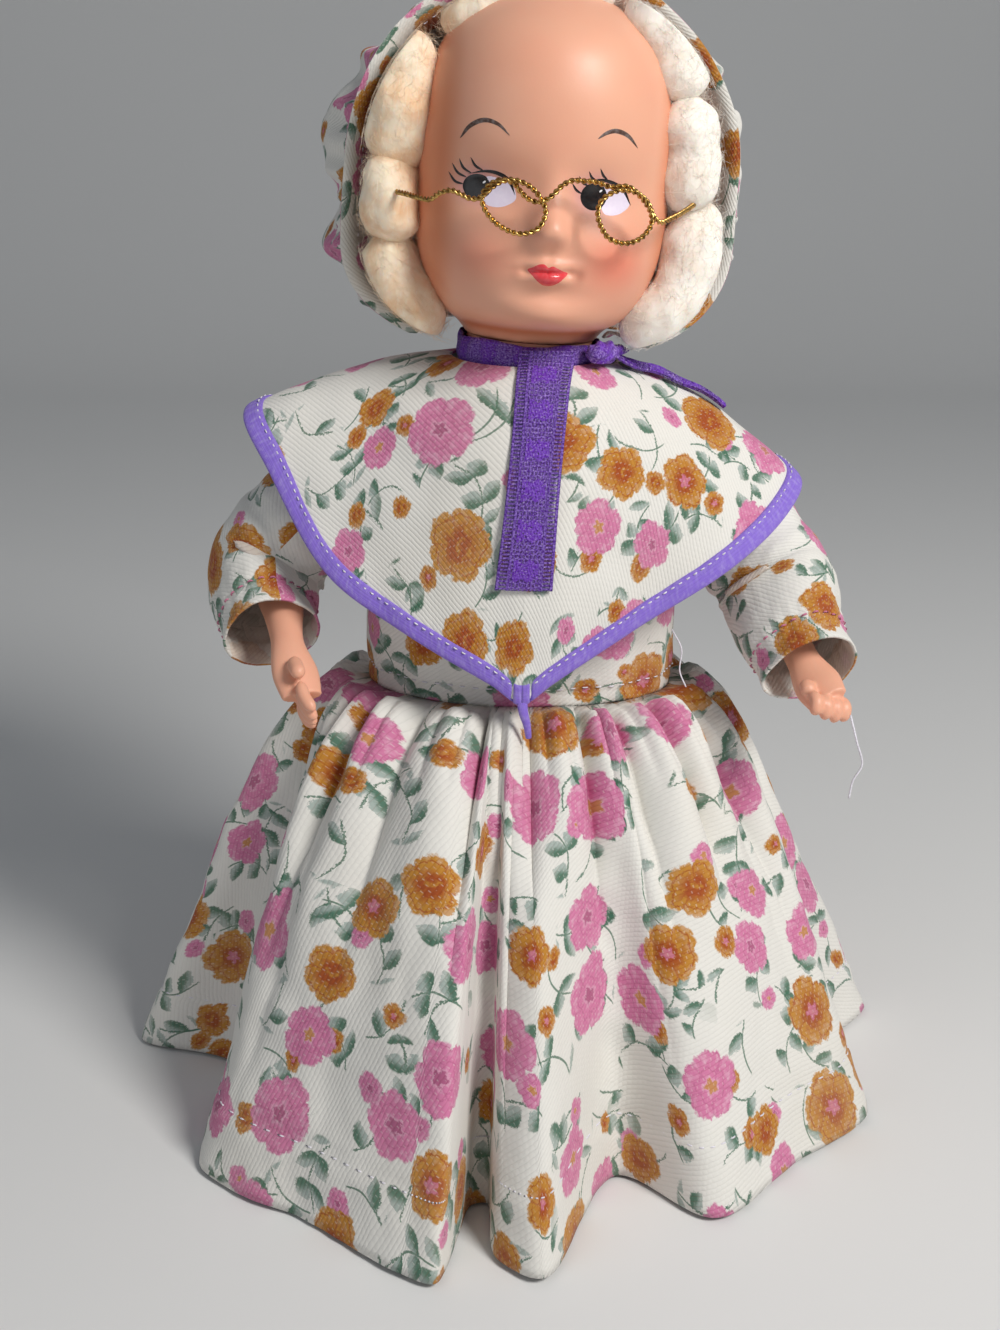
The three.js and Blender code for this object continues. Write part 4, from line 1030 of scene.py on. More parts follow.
def build_bodice(cloth, thread):
    def flat(s, t):
        return s * 246 + 40, t * 90 + 10

    bm = bmesh.new()
    surface(bm, 240, 84, lambda s, t: bodice_place(s * TURN, t), flat)
    height = shoulder_height()
    holes = [f for f in bm.faces if abs(f.calc_center_median().x) > ARMHOLE_START and math.hypot(
        f.calc_center_median().y, f.calc_center_median().z - height) < ARMHOLE]
    bmesh.ops.delete(bm, geom=holes, context="FACES")
    bodice = finish_piece(bm, "bodice_cloth", figure_place(), cloth, "torso")
    thicken(bodice, size("cloth_thickness"), -1.0, 1)
    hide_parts("bodice")

    def sewn(azimuth, level):
        out = heading(azimuth)
        return bodice_place(azimuth, level) + out * 0.1, out

    bm = bmesh.new()
    stitches(bm, lambda u: sewn(u * TURN, 0.06), 225, size("stitch_length"), 0.6, 0.2)
    placket = math.pi / 2 + 0.22
    stitches(bm, lambda u: sewn(placket, 0.07 + 0.82 * u), 72, size("stitch_length"), 0.62, 0.2)
    seam = finish_piece(bm, "bodice_stitches", figure_place(), thread, "torso")


# Sleeves

SHOULDER_SEAT = 32
ARM_ROOT = 43.52
SLEEVE_HEAD = 15.2
CUFF_SEAM = 0.9

SLEEVE_POSES = {
    "right": {"side": -1, "crest": (9, 0, -4), "bend": (14.5, 0, -12), "elbow": (29, 1, -30),
              "forearm": (28, -9, -38), "cuff": (25, -19, -44), "phase": 0.4},
    "left": {"side": 1, "crest": (9, 0, -4), "bend": (14.5, -2, -13), "elbow": (27, -8, -29),
             "forearm": (30, -20, -39), "cuff": (34, -32, -47), "phase": 2.2},
}


def from_root(side, offset):
    return Vector((side * (ARM_ROOT + offset[0]), offset[1], shoulder_height() + offset[2]))


def build_sleeve(name, cloth, thread):
    pose = SLEEVE_POSES[name]
    side = pose["side"]
    start = SHOULDER_SEAT + 5.5
    line = Spline([
        *((side * (start + out), 0, shoulder_height()) for out in (0, 4.5, 9)),
        *(from_root(side, pose[key]) for key in ("crest", "bend", "elbow", "forearm", "cuff"))])
    wide, cuff = size("sleeve_radius"), size("cuff_radius")
    half = curve_through([
        (0, 19.2, 19.2), (0.05, 17.4, 17.4), (0.12, SLEEVE_HEAD + 0.6, SLEEVE_HEAD + 0.6),
        (0.24, SLEEVE_HEAD * 0.87, SLEEVE_HEAD * 0.94), (0.4, wide * 0.94, wide * 0.92), (0.62, wide, wide),
        (0.85, cuff * 1.12, cuff * 1.1), (0.93, cuff * 1.02, cuff * 1.0), (1, cuff * 1.04, cuff * 1.03)])
    steps, sides = 110, 120

    def swell(angle, t):
        grown = ease(t, 0.3, 0.6) * (1 - 0.5 * ease(t, 0.8, 1))
        fold = 1 + 0.07 * grown * math.sin(3 * angle + pose["phase"])
        ripple = Vector((math.cos(angle), math.sin(angle), t * 5)) * 1.3 + Vector((side * 4, 0, 0))
        fold += 0.045 * clouds(ripple) * ease(t, 0.12, 0.3)
        crease = math.sin(t * 46 + 2.2 * math.sin(angle + pose["phase"]) + pose["phase"])
        fold += 0.022 * crease * bell(t, 0.52, 0.16)
        fold += 0.012 * math.sin(22 * angle + 2 * math.sin(3 * angle)) * bell(t, CUFF_SEAM, 0.05)
        fold -= 0.02 * bell(t, CUFF_SEAM, 0.012)
        return fold

    length = line.length()

    def flat(s, t):
        return s * 100 + 130 * (side + 2), -t * length + 60

    bm = bmesh.new()
    tube(bm, line, half, sides, steps, swell, "open", flat)
    sleeve = finish_piece(bm, f"{name}_sleeve_cloth", figure_place(), cloth)
    thicken(sleeve, size("cloth_thickness"), -1.0, 1)
    shoulder_height() * MM
    shoulder_height() * MM
    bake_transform(sleeve)
    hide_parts(f"{name}_sleeve")

    frames = frames_along(line, steps)

    def sewn(u):
        centre, normal, binormal = frames[round(steps * CUFF_SEAM)]
        angle = u * TURN
        a, b = (reach * swell(angle, CUFF_SEAM) + 0.25 for reach in half(CUFF_SEAM))
        here = centre + normal * (math.cos(angle) * a) + binormal * (math.sin(angle) * b)
        return here, about(normal, binormal, angle)

    bm = bmesh.new()
    stitches(bm, sewn, cuff * TURN, size("stitch_length") * 0.9, 0.66, 0.26)
    seam = finish_piece(bm, f"{name}_cuff_stitches", figure_place(), thread, f"{name}_arm")


# Cape collar, its binding and the lace that hangs on it

COLLAR_EDGE = [
    (0, -42, -81.2), (-8, -41.2, -76.2), (-27, -38, -66), (-52, -30, -50), (-69, -18, -24), (-76, -8, -13),
    (-74, 3, -11), (-58, 19, -17), (-31, 33, -36), (0, 38, -46), (31, 33, -40), (58, 20, -30), (73, 3, -26),
    (75.5, -8, -28), (71, -16, -34), (56, -30, -45), (29, -37, -62), (8, -41.2, -75.8),
]
COLLAR_NECK_RADIUS = 20.5
COLLAR_NECK_HEIGHT = 4.5
COLLAR_DROP = 84
LACE_BAND_OUTER = 19.0
LACE_BAND_LOW, LACE_BAND_HEIGHT = 1.5, 8.2


@lru_cache(maxsize=None)
def collar_edge():
    return Spline([(x, y, neck_height() + z) for x, y, z in COLLAR_EDGE], closed=True)


def edge_place(share):
    """The place k round the collar that lies at a share of the edge's length."""
    return collar_edge().share_at(share % 1)


def collar_point(k, out):
    edge = collar_edge().at(k % 1)
    ring = heading(math.atan2(edge.y, edge.x))
    start = ring * COLLAR_NECK_RADIUS + UP * (neck_height() + COLLAR_NECK_HEIGHT)
    drop = (start.z - edge.z) / COLLAR_DROP
    bulge = math.sin(math.pi * out**0.75)
    return start.lerp(edge, out) + ring * (bulge * 9 * drop) + UP * (bulge * 3.2)


def collar_axes(k, out):
    """Directions on the collar: towards its edge, along its edge, and off its face."""
    outward = (collar_point(k, min(out + 0.01, 1)) - collar_point(k, max(out - 0.01, 0))).normalized()
    beside = (collar_point(k + 0.004, out) - collar_point(k - 0.004, out)).normalized()
    lift = beside.cross(outward).normalized()
    if lift.z < 0:
        lift.negate()
    return outward, beside, lift


def collar_ripple(k, out):
    """Soft waves of the hanging cloth, none at the neck and under the front strip."""
    free = ease(out, 0.1, 0.6) * ease(min(k % 1, 1 - k % 1), 0.0, 0.06)
    here = collar_point(k, out)
    wave = rough(here.x, here.y, here.z, 24, 2) * 1.1
    near = 1.3 * bell(here.x, -32, 7) * bell(here.z, neck_height() - 9, 6)
    return free * wave + near * ease(out, 0.02, 0.15)


def on_collar(k, out, lift=0.0):
    return collar_point(k, out) + collar_axes(k, out)[2] * (collar_ripple(k, out) + lift)


def reach_of(k):
    return (collar_point(k, 0) - collar_point(k, 1)).length


def collar_blend(piece):
    height = (shoulder_height() + 10) * MM
    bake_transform(piece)


def build_collar(cloth, tape, thread):
    binding = size("binding_width")
    for name, side, low in (("right", -1, 0.0), ("left", 1, 0.5)):
        def halfway(share, side=side):
            """Keeps the two ends of a half on the middle plane."""
            if share <= 0 or share >= 1:
                return 0.0 if side < 0 else 1.0
            return edge_place(share)

        def flat(s, t):
            share = low + (1 - s) / 2
            turn = (2 * low - share) * TURN * 0.86
            reach = 24 + (1 - t) * reach_of(halfway(share))
            return math.cos(turn) * reach + 210, math.sin(turn) * reach + 280

        def cloth_place(s, t):
            k = halfway(low + (1 - s) / 2)
            return on_collar(k, (1 - t) * (1 - 1.2 / reach_of(k)), -0.4)

        bm = bmesh.new()
        surface(bm, 150, 60, cloth_place, flat)
        for edge in bm.edges:
            edge.smooth = not edge.is_boundary
        half = finish_piece(bm, f"{name}_collar_cloth", figure_place(), cloth)
        thicken(half, size("cloth_thickness"), 0.0, 1)
        collar_blend(half)
        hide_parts("cape_collar")

        def tape_place(s, t):
            k = halfway(low + t * 0.5)
            angle = s * TURN
            outward, _, lift = collar_axes(k, 1)
            across = signed_power(math.cos(angle), 0.6) * binding / 2
            thick = signed_power(math.sin(angle), 0.7) * 1.05
            pucker = 0.16 * math.sin(t * 0.5 * collar_edge().length() / 1.9) * (across < 0)
            middle = on_collar(k, 1 - binding / 2 / reach_of(k))
            return middle + outward * across + lift * (thick + pucker - 0.3)

        bm = bmesh.new()
        tape_length = collar_edge().length() / 2
        surface(bm, 26, 300, tape_place, lambda s, t: (s * 14, t * tape_length))
        bmesh.ops.holes_fill(bm, edges=[e for e in bm.edges if e.is_boundary], sides=40)
        edging = finish_piece(bm, f"{name}_collar_tape", figure_place(), tape, closed=True)
        collar_blend(edging)
        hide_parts("collar_binding")

        def sewn(u):
            k = halfway(low + 0.006 + u * 0.488)
            lift = collar_axes(k, 1)[2]
            return on_collar(k, 1 - (binding - 1.1) / reach_of(k)) + lift * 0.68, lift

        bm = bmesh.new()
        stitches(bm, sewn, tape_length, size("stitch_length") * 0.78, 0.62, 0.2)
        seam = finish_piece(bm, f"{name}_tape_stitches", figure_place(), thread)
        collar_blend(seam)

    tip = on_collar(0, 1)
    end_line = Spline([tip + UP * 2.5, tip + Vector((0.6, -1.2, -1.5)), tip + Vector((1.6, -1.0, -5)),
                       tip + Vector((2.2, -0.2, -9))])
    bm = bmesh.new()
    tube(bm, end_line, lambda t: (1.5 - 0.7 * t, 0.75), 16, 24, flat=lambda s, t: (s * 5, t * 12))
    end = finish_piece(bm, "tape_end", figure_place(), tape, "torso", closed=True)
    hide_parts("collar_binding")


KNOT_AZIMUTH = math.radians(-36)
TAIL_LENGTH = 36
# The loose end's way over the collar: share of its length, place round the collar, share out to its edge
TAIL_KEYS = [
    (0, 0.815, 0.06), (0.2, 0.77, 0.11), (0.4, 0.74, 0.18), (0.6, 0.725, 0.28), (0.8, 0.71, 0.4), (1, 0.705, 0.53)]


def build_neck_band(lace):
    """The gathered band round the neck."""
    def band(s, t):
        angle = s * TURN
        crush = 0.4 * math.sin(angle * 19 + 2 * math.sin(angle * 3))
        crush += 0.5 * noise.noise(Vector((math.cos(angle) * 3, math.sin(angle) * 3, t * 3)))
        radius = LACE_BAND_OUTER - 0.7 + crush * (0.5 + 0.5 * t) + 0.8 * math.sin(t * math.pi)
        height = LACE_BAND_LOW + t * LACE_BAND_HEIGHT + 0.4 * math.sin(angle * 5)
        return Vector((math.cos(angle) * radius, math.sin(angle) * radius, height))

    bm = bmesh.new()
    surface(bm, 300, 14, band, lambda s, t: ((t - 0.5) * 11, s * 120))
    neck = finish_piece(bm, "neck_lace_band", neck_place(), lace, "torso")
    thicken(neck, 0.5, 0.0)
    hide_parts("neck_lace")


def build_strip(lace):
    """The strip that hangs in front: over the band, then down the collar."""
    outs = [0.06, 0.14, 0.24, 0.34, 0.45, 0.56, 0.66]
    top = neck_height() + LACE_BAND_LOW + LACE_BAND_HEIGHT
    points = [Vector((5, -LACE_BAND_OUTER - 1.0, top - 0.9)), Vector((4.6, -LACE_BAND_OUTER - 1.4, top - 3.6))]
    for out in outs:
        here = on_collar(0, out, 0.75)
        points.append(Vector((lerp(4.2, -0.2, out / outs[-1]), here.y, here.z)))
    line = Spline(points)
    width, length = size("lace_width"), line.length()

    def strip(s, t):
        here = line.along(1 - t)
        along = line.tangent(1 - t)
        lift = along.cross(Vector((1, 0, 0))).normalized()
        if lift.y > 0:
            lift.negate()
        across = (s - 0.5) * width * (1 - 0.1 * math.sin(t * 3))
        ridge = 0.35 * math.sin(t * 23) * (s - 0.5) + 0.4 * rough(across, t * length, 3, 9, 2)
        return here + Vector((across, 0, 0)) + lift * (ridge + 0.35 - 0.5 * (2 * s - 1) ** 2)

    bm = bmesh.new()
    surface(bm, 30, 130, strip, lambda s, t: ((s - 0.5) * width, t * length))
    front = finish_piece(bm, "lace_strip", figure_place(), lace, "torso")
    thicken(front, 0.35, 0.0)
    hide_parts("lace_jabot")


def build_knot(lace):
    """The knot and its short end; gives the place in the figure's frame where the tail starts."""
    reach = LACE_BAND_OUTER + 0.35 + 4.3 * 0.95
    centre = Vector((math.cos(KNOT_AZIMUTH) * reach, math.sin(KNOT_AZIMUTH) * reach, 8.7))
    out, beside = heading(KNOT_AZIMUTH), heading(KNOT_AZIMUTH + math.pi / 2)
    bm = bmesh.new()
    knot_line = Spline([centre - beside * 5.7, centre + out * 0.3, centre + beside * 5.7])
    tube(bm, knot_line, lambda t: (rounded(t, 2.7), rounded(t, 3.0)), 40, 40,
         lambda angle, t: 1 + 0.12 * math.sin(angle * 5 + t * 14) + 0.06 * math.sin(t * 21),
         flat=lambda s, t: ((s - 0.5) * 12, t * 14))
    end_line = Spline([centre + beside * 2, centre + beside * 5.5 + out * 0.7 + UP * 0.3, centre + beside * 8.6])
    tube(bm, end_line, lambda t: (1.1 + 1.6 * t * (1 - t), 1.9 + t * 0.7), 20, 20,
         lambda angle, t: 1 + 0.12 * math.sin(angle * 4 + t * 9), flat=lambda s, t: ((s - 0.5) * 9, t * 13))
    knot = finish_piece(bm, "lace_knot_tied", neck_place(), lace, "torso", closed=True)
    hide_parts("lace_knot")
    return figure_place().inverted() @ neck_place() @ (centre + beside * 2 + out * 1.2)


def build_tail(lace, start):
    """The loose end over the shoulder."""
    way = curve_through(TAIL_KEYS)

    def tail(s, t):
        k, reach = way(t)
        ahead, behind = way(min(t + 0.02, 1)), way(max(t - 0.02, 0))
        along = (on_collar(*ahead) - on_collar(*behind)).normalized()
        lift = collar_axes(k, reach)[2]
        fold = 0.45 * math.cos((s - 0.5) * 22 + t * 3) + 0.2 * math.sin(t * 17)
        here = start.lerp(on_collar(k, reach, 1.3), ease(t, 0, 0.16))
        return here + along.cross(lift) * ((s - 0.5) * lerp(4.6, 3.0, t)) + lift * (fold + 0.4)

    bm = bmesh.new()
    surface(bm, 48, 70, tail, lambda s, t: ((s - 0.5) * 7.6, t * TAIL_LENGTH))
    loose = finish_piece(bm, "lace_tail_end", figure_place(), lace)
    thicken(loose, 0.4, 0.0)
    collar_blend(loose)
    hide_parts("lace_tail")


# Head and its painted face

HEAD_BOTTOM = 10.2
NECK_OPENING = 13.0
KNOB_ROOM = 15.2
KNOB_ROOM_TOP = 11.0
HEAD_WALL = 2.6
SHELL_WALL = 1.6

# Level up the head, then half width, depth of the face and depth of the back as shares
HEAD_KEYS = [
    (0, 0.52, 0.48, 0.44), (0.035, 0.6, 0.56, 0.5), (0.07, 0.72, 0.84, 0.62), (0.13, 0.84, 0.96, 0.75),
    (0.22, 0.94, 1, 0.87), (0.34, 0.995, 0.985, 0.96), (0.46, 1, 0.97, 1), (0.6, 0.99, 1.01, 1),
    (0.74, 0.93, 0.98, 0.94), (0.85, 0.8, 0.86, 0.81), (0.93, 0.58, 0.62, 0.6), (0.98, 0.3, 0.33, 0.33),
    (1, 0.05, 0.05, 0.05),
]
# Swells and hollows of the face: across, up as a share, spread each way, and rise
FACE_FORMS = [
    (0, 0.35, 3.3, 3.6, 5.4), (0, 0.43, 3, 5.5, 1.6), (-13.8, 0.44, 6.5, 4.6, -1.7), (13.8, 0.44, 6.5, 4.6, -1.7),
    (-17, 0.28, 8, 7.5, 1.9), (17, 0.28, 8, 7.5, 1.9), (0, 0.25, 5, 1.3, 1.7), (0, 0.215, 4.2, 1.3, 1.9),
    (0, 0.165, 7, 1.9, -1.1), (0, 0.11, 6.5, 3.2, 1.8),
]
# Finer forms that only the looks have: sides of the nose, philtrum, line of the lips, mouth corners
FINE_FORMS = [
    (-3.0, 0.335, 1.6, 1.7, 0.9), (3.0, 0.335, 1.6, 1.7, 0.9), (0, 0.285, 1.0, 1.8, -0.35),
    (0, 0.2335, 3.6, 0.4, -0.9), (-5.4, 0.234, 1.2, 1.0, -0.9), (5.4, 0.234, 1.2, 1.0, -0.9),
    (-1.5, 0.262, 1.3, 0.7, 0.35), (1.5, 0.262, 1.3, 0.7, 0.35),
]
# Soft dabs of paint: middle across and up, spread each way, strength; the dimples are painted shade beside the mouth
CHEEKS = [(17, 33, 8, 6.5, 1.0), (-17, 33, 8, 6.5, 0.55)]
DIMPLE_SHADES = [(8.2, 30.3, 1.3, 1.7, 1.0), (-7.8, 30.3, 1.3, 1.7, 0.45)]
# Soft lilac shade round the painted eyes: middle across and up, half width and half height
HALOES = [(-18.0, 49.8, 5.2, 4.4), (10.6, 49.8, 5.2, 4.6)]


def head_point(angle, level):
    wide, front, back = curve_through(HEAD_KEYS)(level)
    cosine, sine = math.cos(angle), math.sin(angle)
    half_width = max(size("head_half_width") * wide, 0.4)
    depth = max(size("face_depth") * front if sine < 0 else size("head_back_depth") * back, 0.4)
    radius = 1 / math.hypot(cosine / half_width, sine / depth)
    if sine < 0:
        for across, up, spread, tall, rise in FACE_FORMS + FINE_FORMS:
            beside = (cosine * radius - across) / spread
            above = (level - up) * size("head_height") / tall
            radius += rise * math.exp(-(beside**2 + above**2) / 2) * min(-sine * 2, 1)
    return Vector((cosine * radius, sine * radius, HEAD_BOTTOM + level * size("head_height")))


def dabs(x, z, spots):
    return sum(strength * bell(x, cx, wide) * bell(z, cz, tall) for cx, cz, wide, tall, strength in spots)


def build_head(plastic):
    """The head as one skin: face, crown, underside and the room for the neck's knob."""
    columns, levels = 230, 190
    inside = [(KNOB_ROOM * 0.02, KNOB_ROOM_TOP), (KNOB_ROOM, KNOB_ROOM_TOP), (KNOB_ROOM, HEAD_WALL),
              (NECK_OPENING, HEAD_WALL), (NECK_OPENING, 0)]
    rows = levels + len(inside)

    def place(s, t):
        row = round(t * rows)
        share = s * 2 - 1
        spread = math.copysign(abs(share) * lerp(0.5, 1, abs(share) ** 1.3), share)
        angle = -math.pi / 2 + math.pi * spread
        if row < len(inside):
            radius, height = inside[row]
            return Vector((math.cos(angle) * radius, math.sin(angle) * radius, HEAD_BOTTOM + height))
        level = (row - len(inside)) / levels
        if level == 1:
            return Vector((0, 0, HEAD_BOTTOM + size("head_height")))
        return head_point(angle, level)

    bm = bmesh.new()
    surface(bm, columns, rows, place)
    blush, warm_shade, halo, dimple_shade = (bm.verts.layers.float.new(name) for name in ("blush", "warm_shade", "halo", "dimple_shade"))
    for v in bm.verts:
        x, y, z = v.co
        if y < 0:
            v[blush] = dabs(x, z, CHEEKS)
            v[halo] = min(sum(math.exp(-((math.hypot((x - ex) / wide, (z - ez) / tall)) ** 2.6))
                              for ex, ez, wide, tall in HALOES), 1)
            # Painted shade in the dimples beside the mouth.
            v[dimple_shade] = dabs(x, z, DIMPLE_SHADES)
        # Painted shade, tinted orange: at the sides of the face where it meets the hair, and under the chin with a
        # darker line in the crease above the neck rim.
        side = ease(abs(x - 2.0), 23.5, 30) * (1 - ease(z, 82, 92)) * ease(y, 6, -24)
        under = 0.35 * ease(z, HEAD_BOTTOM + 11, HEAD_BOTTOM + 4) + 0.6 * bell(z, HEAD_BOTTOM + 3.4, 1.3)
        v[warm_shade] = min(side * 0.85 + under, 1)
    bm.normal_update()
    tree = BVHTree.FromBMesh(bm)
    head = finish_piece(bm, "head_shell", head_place(), plastic, "head", closed=True)
    thicken(head, SHELL_WALL, -1.0)
    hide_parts("head")
    return tree


def on_face(tree, x, z, lift):
    """The place on the face straight behind a point of its front view, a little proud of it."""
    hit, normal, _, _ = tree.ray_cast(Vector((x, -90, z)), Vector((0, 1, 0)))
    if normal.y > 0:
        normal = -normal
    return hit + normal * lift


def painted_patch(bm, tree, outline, lift, dome=0.0):
    """A film of paint inside a closed outline of (x, z), swelling by dome towards its middle."""
    edge = Spline([(x, 0, z) for x, z in outline], closed=True)
    middle = sum((Vector((x, 0, z)) for x, z in outline), Vector()) / len(outline)
    rings = 6

    def place(s, t):
        here = edge.at(s % 1).lerp(middle, t)
        return on_face(tree, here.x, here.z, lift * ease(t, 0, 1 / rings) + 0.01 + dome * math.sqrt(t))
    surface(bm, max(len(outline) * 5, 30), rings, place)


def ellipse(cx, cz, half_width, half_height, lean=0.0):
    points, count = [], 10
    for i in range(count):
        angle = i / count * TURN
        x, z = math.cos(angle) * half_width, math.sin(angle) * half_height
        points.append(
            (cx + x * math.cos(lean) - z * math.sin(lean), cz + x * math.sin(lean) + z * math.cos(lean)))
    return points


def painted_stroke(bm, tree, points, width, lift, thick_at):
    """A brush stroke along points of (x, z) that thins towards its ends."""
    line = Spline([(x, 0, z) for x, z in points])

    def place(s, t):
        here, along = line.along(t), line.tangent(t)
        side = Vector((-along.z, 0, along.x))
        taper = math.sin(math.pi * t ** (math.log(0.5) / math.log(thick_at))) ** 0.7
        here = here + side * ((s - 0.5) * width * max(taper, 0.04))
        return on_face(tree, here.x, here.z, lift * (1 - (2 * s - 1) ** 2) + 0.012)
    surface(bm, 4, 24, place)


EYES = [
    {"iris": (-18.2, 49.3, 3.6, 3.1),
     "white": [(-16.4, 51.9), (-12.9, 51.7), (-9.9, 50.4), (-8.9, 47.4), (-10.9, 45.7), (-13.6, 45.0),
               (-16.2, 45.6), (-17.2, 48.6)],
     "lid": [(-20.6, 52.2), (-17, 53.2), (-14.0, 53.1), (-11.2, 51.8), (-9.1, 48.4)],
     "lashes": [[(-21.6, 49.6), (-23.6, 50.0), (-25.4, 52.1)], [(-21.0, 51.3), (-23.2, 52.2), (-24.7, 54.3)],
                [(-19.9, 52.4), (-21.9, 53.5), (-23.1, 55.6)], [(-17.1, 53.3), (-19.1, 54.3), (-20.4, 56.2)]]},
    {"iris": (10.4, 49.2, 3.6, 3.3),
     "white": [(12.6, 51.9), (15.6, 51.9), (18.2, 50.7), (19.9, 47.6), (17.9, 45.6), (15.6, 44.9),
               (13.2, 45.3), (12.0, 48.6)],
     "lid": [(7.6, 52.2), (10.6, 53.2), (14, 52.9), (17.7, 51.1), (20.2, 47.4)],
     "lashes": [[(7.2, 49.7), (5.6, 50.6), (4.4, 52.2)], [(8.6, 51.7), (7.1, 52.4), (6.0, 53.9)],
                [(10.7, 53), (9.3, 53.7), (8.4, 55.2)], [(13.5, 53.3), (12.2, 54.3), (11.2, 56.0)]]},
]
BROWS = [
    [(-23.2, 60.4), (-21.1, 63.5), (-17.9, 65.2), (-14.6, 64.6), (-11.6, 62.2)],
    [(9.7, 62.9), (11.9, 64.4), (14.2, 65), (17.5, 64), (20.5, 61.2)],
]
LIPS = [
    (-5.0, 31.0), (-3.7, 31.9), (-2.2, 32.7), (-1.0, 32.7), (-0.1, 32.0), (0.9, 32.4), (2.3, 31.9), (3.8, 31.2),
    (5.0, 30.7), (3.9, 29.4), (2.4, 28.1), (0.6, 27.4), (-0.9, 27.5), (-2.4, 28.4), (-3.9, 29.8),
]


def build_face(tree, ink, brow, white, shine, lips):
    def film(name, fill, coat):
        bm = bmesh.new()
        fill(bm)
        finish_piece(bm, name, head_place(), coat, "head")

    def whites(bm):
        for eye in EYES:
            painted_patch(bm, tree, eye["white"], 0.05)

    def inks(bm):
        for eye in EYES:
            painted_patch(bm, tree, ellipse(*eye["iris"]), 0.10)
            painted_stroke(bm, tree, eye["lid"], 0.95, 0.12, 0.6)
            for lash in eye["lashes"]:
                painted_stroke(bm, tree, lash, 0.62, 0.08, 0.45)

    def glints(bm):
        for eye in EYES:
            x, z, wide, tall = eye["iris"]
            painted_patch(bm, tree, ellipse(x + wide * 0.42, z + tall * 0.42, 0.5, 0.26, 0.7), 0.16)

    def brows(bm):
        for points in BROWS:
            painted_stroke(bm, tree, points, 1.1, 0.08, 0.45)

    film("painted_whites", whites, white)
    film("painted_eyes", inks, ink)
    film("painted_glints", glints, shine)
    film("painted_brows", brows, brow)
    film("painted_lips", lambda bm: painted_patch(bm, tree, LIPS, 0.06, 0.22), lips)


# Bonnet

BONNET_JOWL = 0.65
BONNET_FLOOR = 8.4
BRIM_FRONT = -1
BRIM_FLARE = 0.12
BRIM_GAP = 0.5
BRIM_SEAM = 0.3
BRIM_SEAM_GAP = 0.62
BRIM_THICKNESS = 1.1
# Share of the crown's depth, then its half width and half height as shares
CROWN_KEYS = [
    (0, 0.85, 0.93), (0.1, 0.935, 0.955), (0.32, 1, 0.97), (0.6, 0.95, 0.93), (0.82, 0.74, 0.73),
    (0.95, 0.4, 0.4), (1, 0.1, 0.1)]


def bonnet_centre():
    return HEAD_BOTTOM + size("head_height") * 0.485


def bonnet_ring(angle, half_width, half_height, lift, back):
    """A place on an oval across the head; the oval is fuller below the cheeks."""
    low = math.sin(angle) ** 2 * abs(math.cos(angle)) if math.sin(angle) < 0 else 0
    return Vector((math.cos(angle) * half_width * (1 + BONNET_JOWL * low), back,
                   bonnet_centre() + lift + math.sin(angle) * half_height))


def brim_share(t):
    """The brim's front edge turns outwards."""
    return 1 - BRIM_FLARE * t**0.5


def brim_at(angle, t, proud):
    """A place on the brim, t from its front edge to the crown, and proud of its middle."""
    share, lift = brim_share(t), -0.5 * t
    wave = 0.7 * noise.noise(Vector((math.cos(angle) * 2.2, math.sin(angle) * 2.2, 3)))
    here = bonnet_ring(angle, size("bonnet_half_width") * share + proud - 0.6 + wave,
                       size("bonnet_half_height") * share + proud - 0.6 + wave, lift, 0)
    front = 1.2 * noise.noise(Vector((math.cos(angle) * 1.7, math.sin(angle) * 1.7, 8))) * (1 - t)
    here.y = BRIM_FRONT + t * size("brim_depth") + front
    return here


def brim_angle(s):
    """The brim goes from one side of the neck over the head to the other."""
    return lerp(BRIM_GAP, TURN - BRIM_GAP, s) - math.pi / 2


def cut_flat(bm, height):
    """Cuts the bonnet off where it clears the collar."""
    everything = list(bm.verts) + list(bm.edges) + list(bm.faces)
    bmesh.ops.bisect_plane(bm, geom=everything, dist=1e-4, plane_co=(0, 0, height), plane_no=(0, 0, 1),
                           clear_inner=True)


def build_brim(cloth, thread):
    depth = size("brim_depth")

    def band(s, t):
        angle = brim_angle(s)
        turn = t * TURN
        along = 0.5 - 0.5 * signed_power(math.cos(turn), 0.35)
        off = signed_power(math.sin(turn), 0.6) * BRIM_THICKNESS
        seam = 0.45 * bell(along, BRIM_SEAM, 0.035) * (1 if off > 0 else -1)
        pucker = 0.18 * math.sin(angle * 100) * bell(along, BRIM_SEAM, 0.08)
        gather = 0.5 * math.sin(angle * 52) * ease(along, 0.6, 1.0)
        return brim_at(angle, along, off - seam * 0.7 + pucker + gather)

    def band_flat(s, t):
        across = t * 2 * (depth + 2) if t < 0.5 else (1 - t) * 2 * (depth + 2) + 40
        return (brim_angle(s) / TURN + 0.25) * 330 + 90, across + 60

    bm = bmesh.new()
    surface(bm, 620, 44, band, band_flat)
    cut_flat(bm, BONNET_FLOOR)
    bmesh.ops.holes_fill(bm, edges=[e for e in bm.edges if e.is_boundary], sides=400)
    brim = finish_piece(bm, "bonnet_brim_cloth", head_place(), cloth[0], "head", closed=True)
    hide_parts("bonnet_brim")

    bm = bmesh.new()
    for side in (1, -1):
        def sewn(u, side=side):
            angle = -math.pi / 2 + BRIM_SEAM_GAP + u * (TURN - 2 * BRIM_SEAM_GAP)
            out = Vector((math.cos(angle), 0, math.sin(angle))) * side
            return brim_at(angle, BRIM_SEAM, side * (BRIM_THICKNESS + 0.15) * 0.72), out
        stitches(bm, sewn, 272, size("stitch_length"), 0.62, 0.24)
    return brim, finish_piece(bm, "brim_stitches", head_place(), thread, "head")


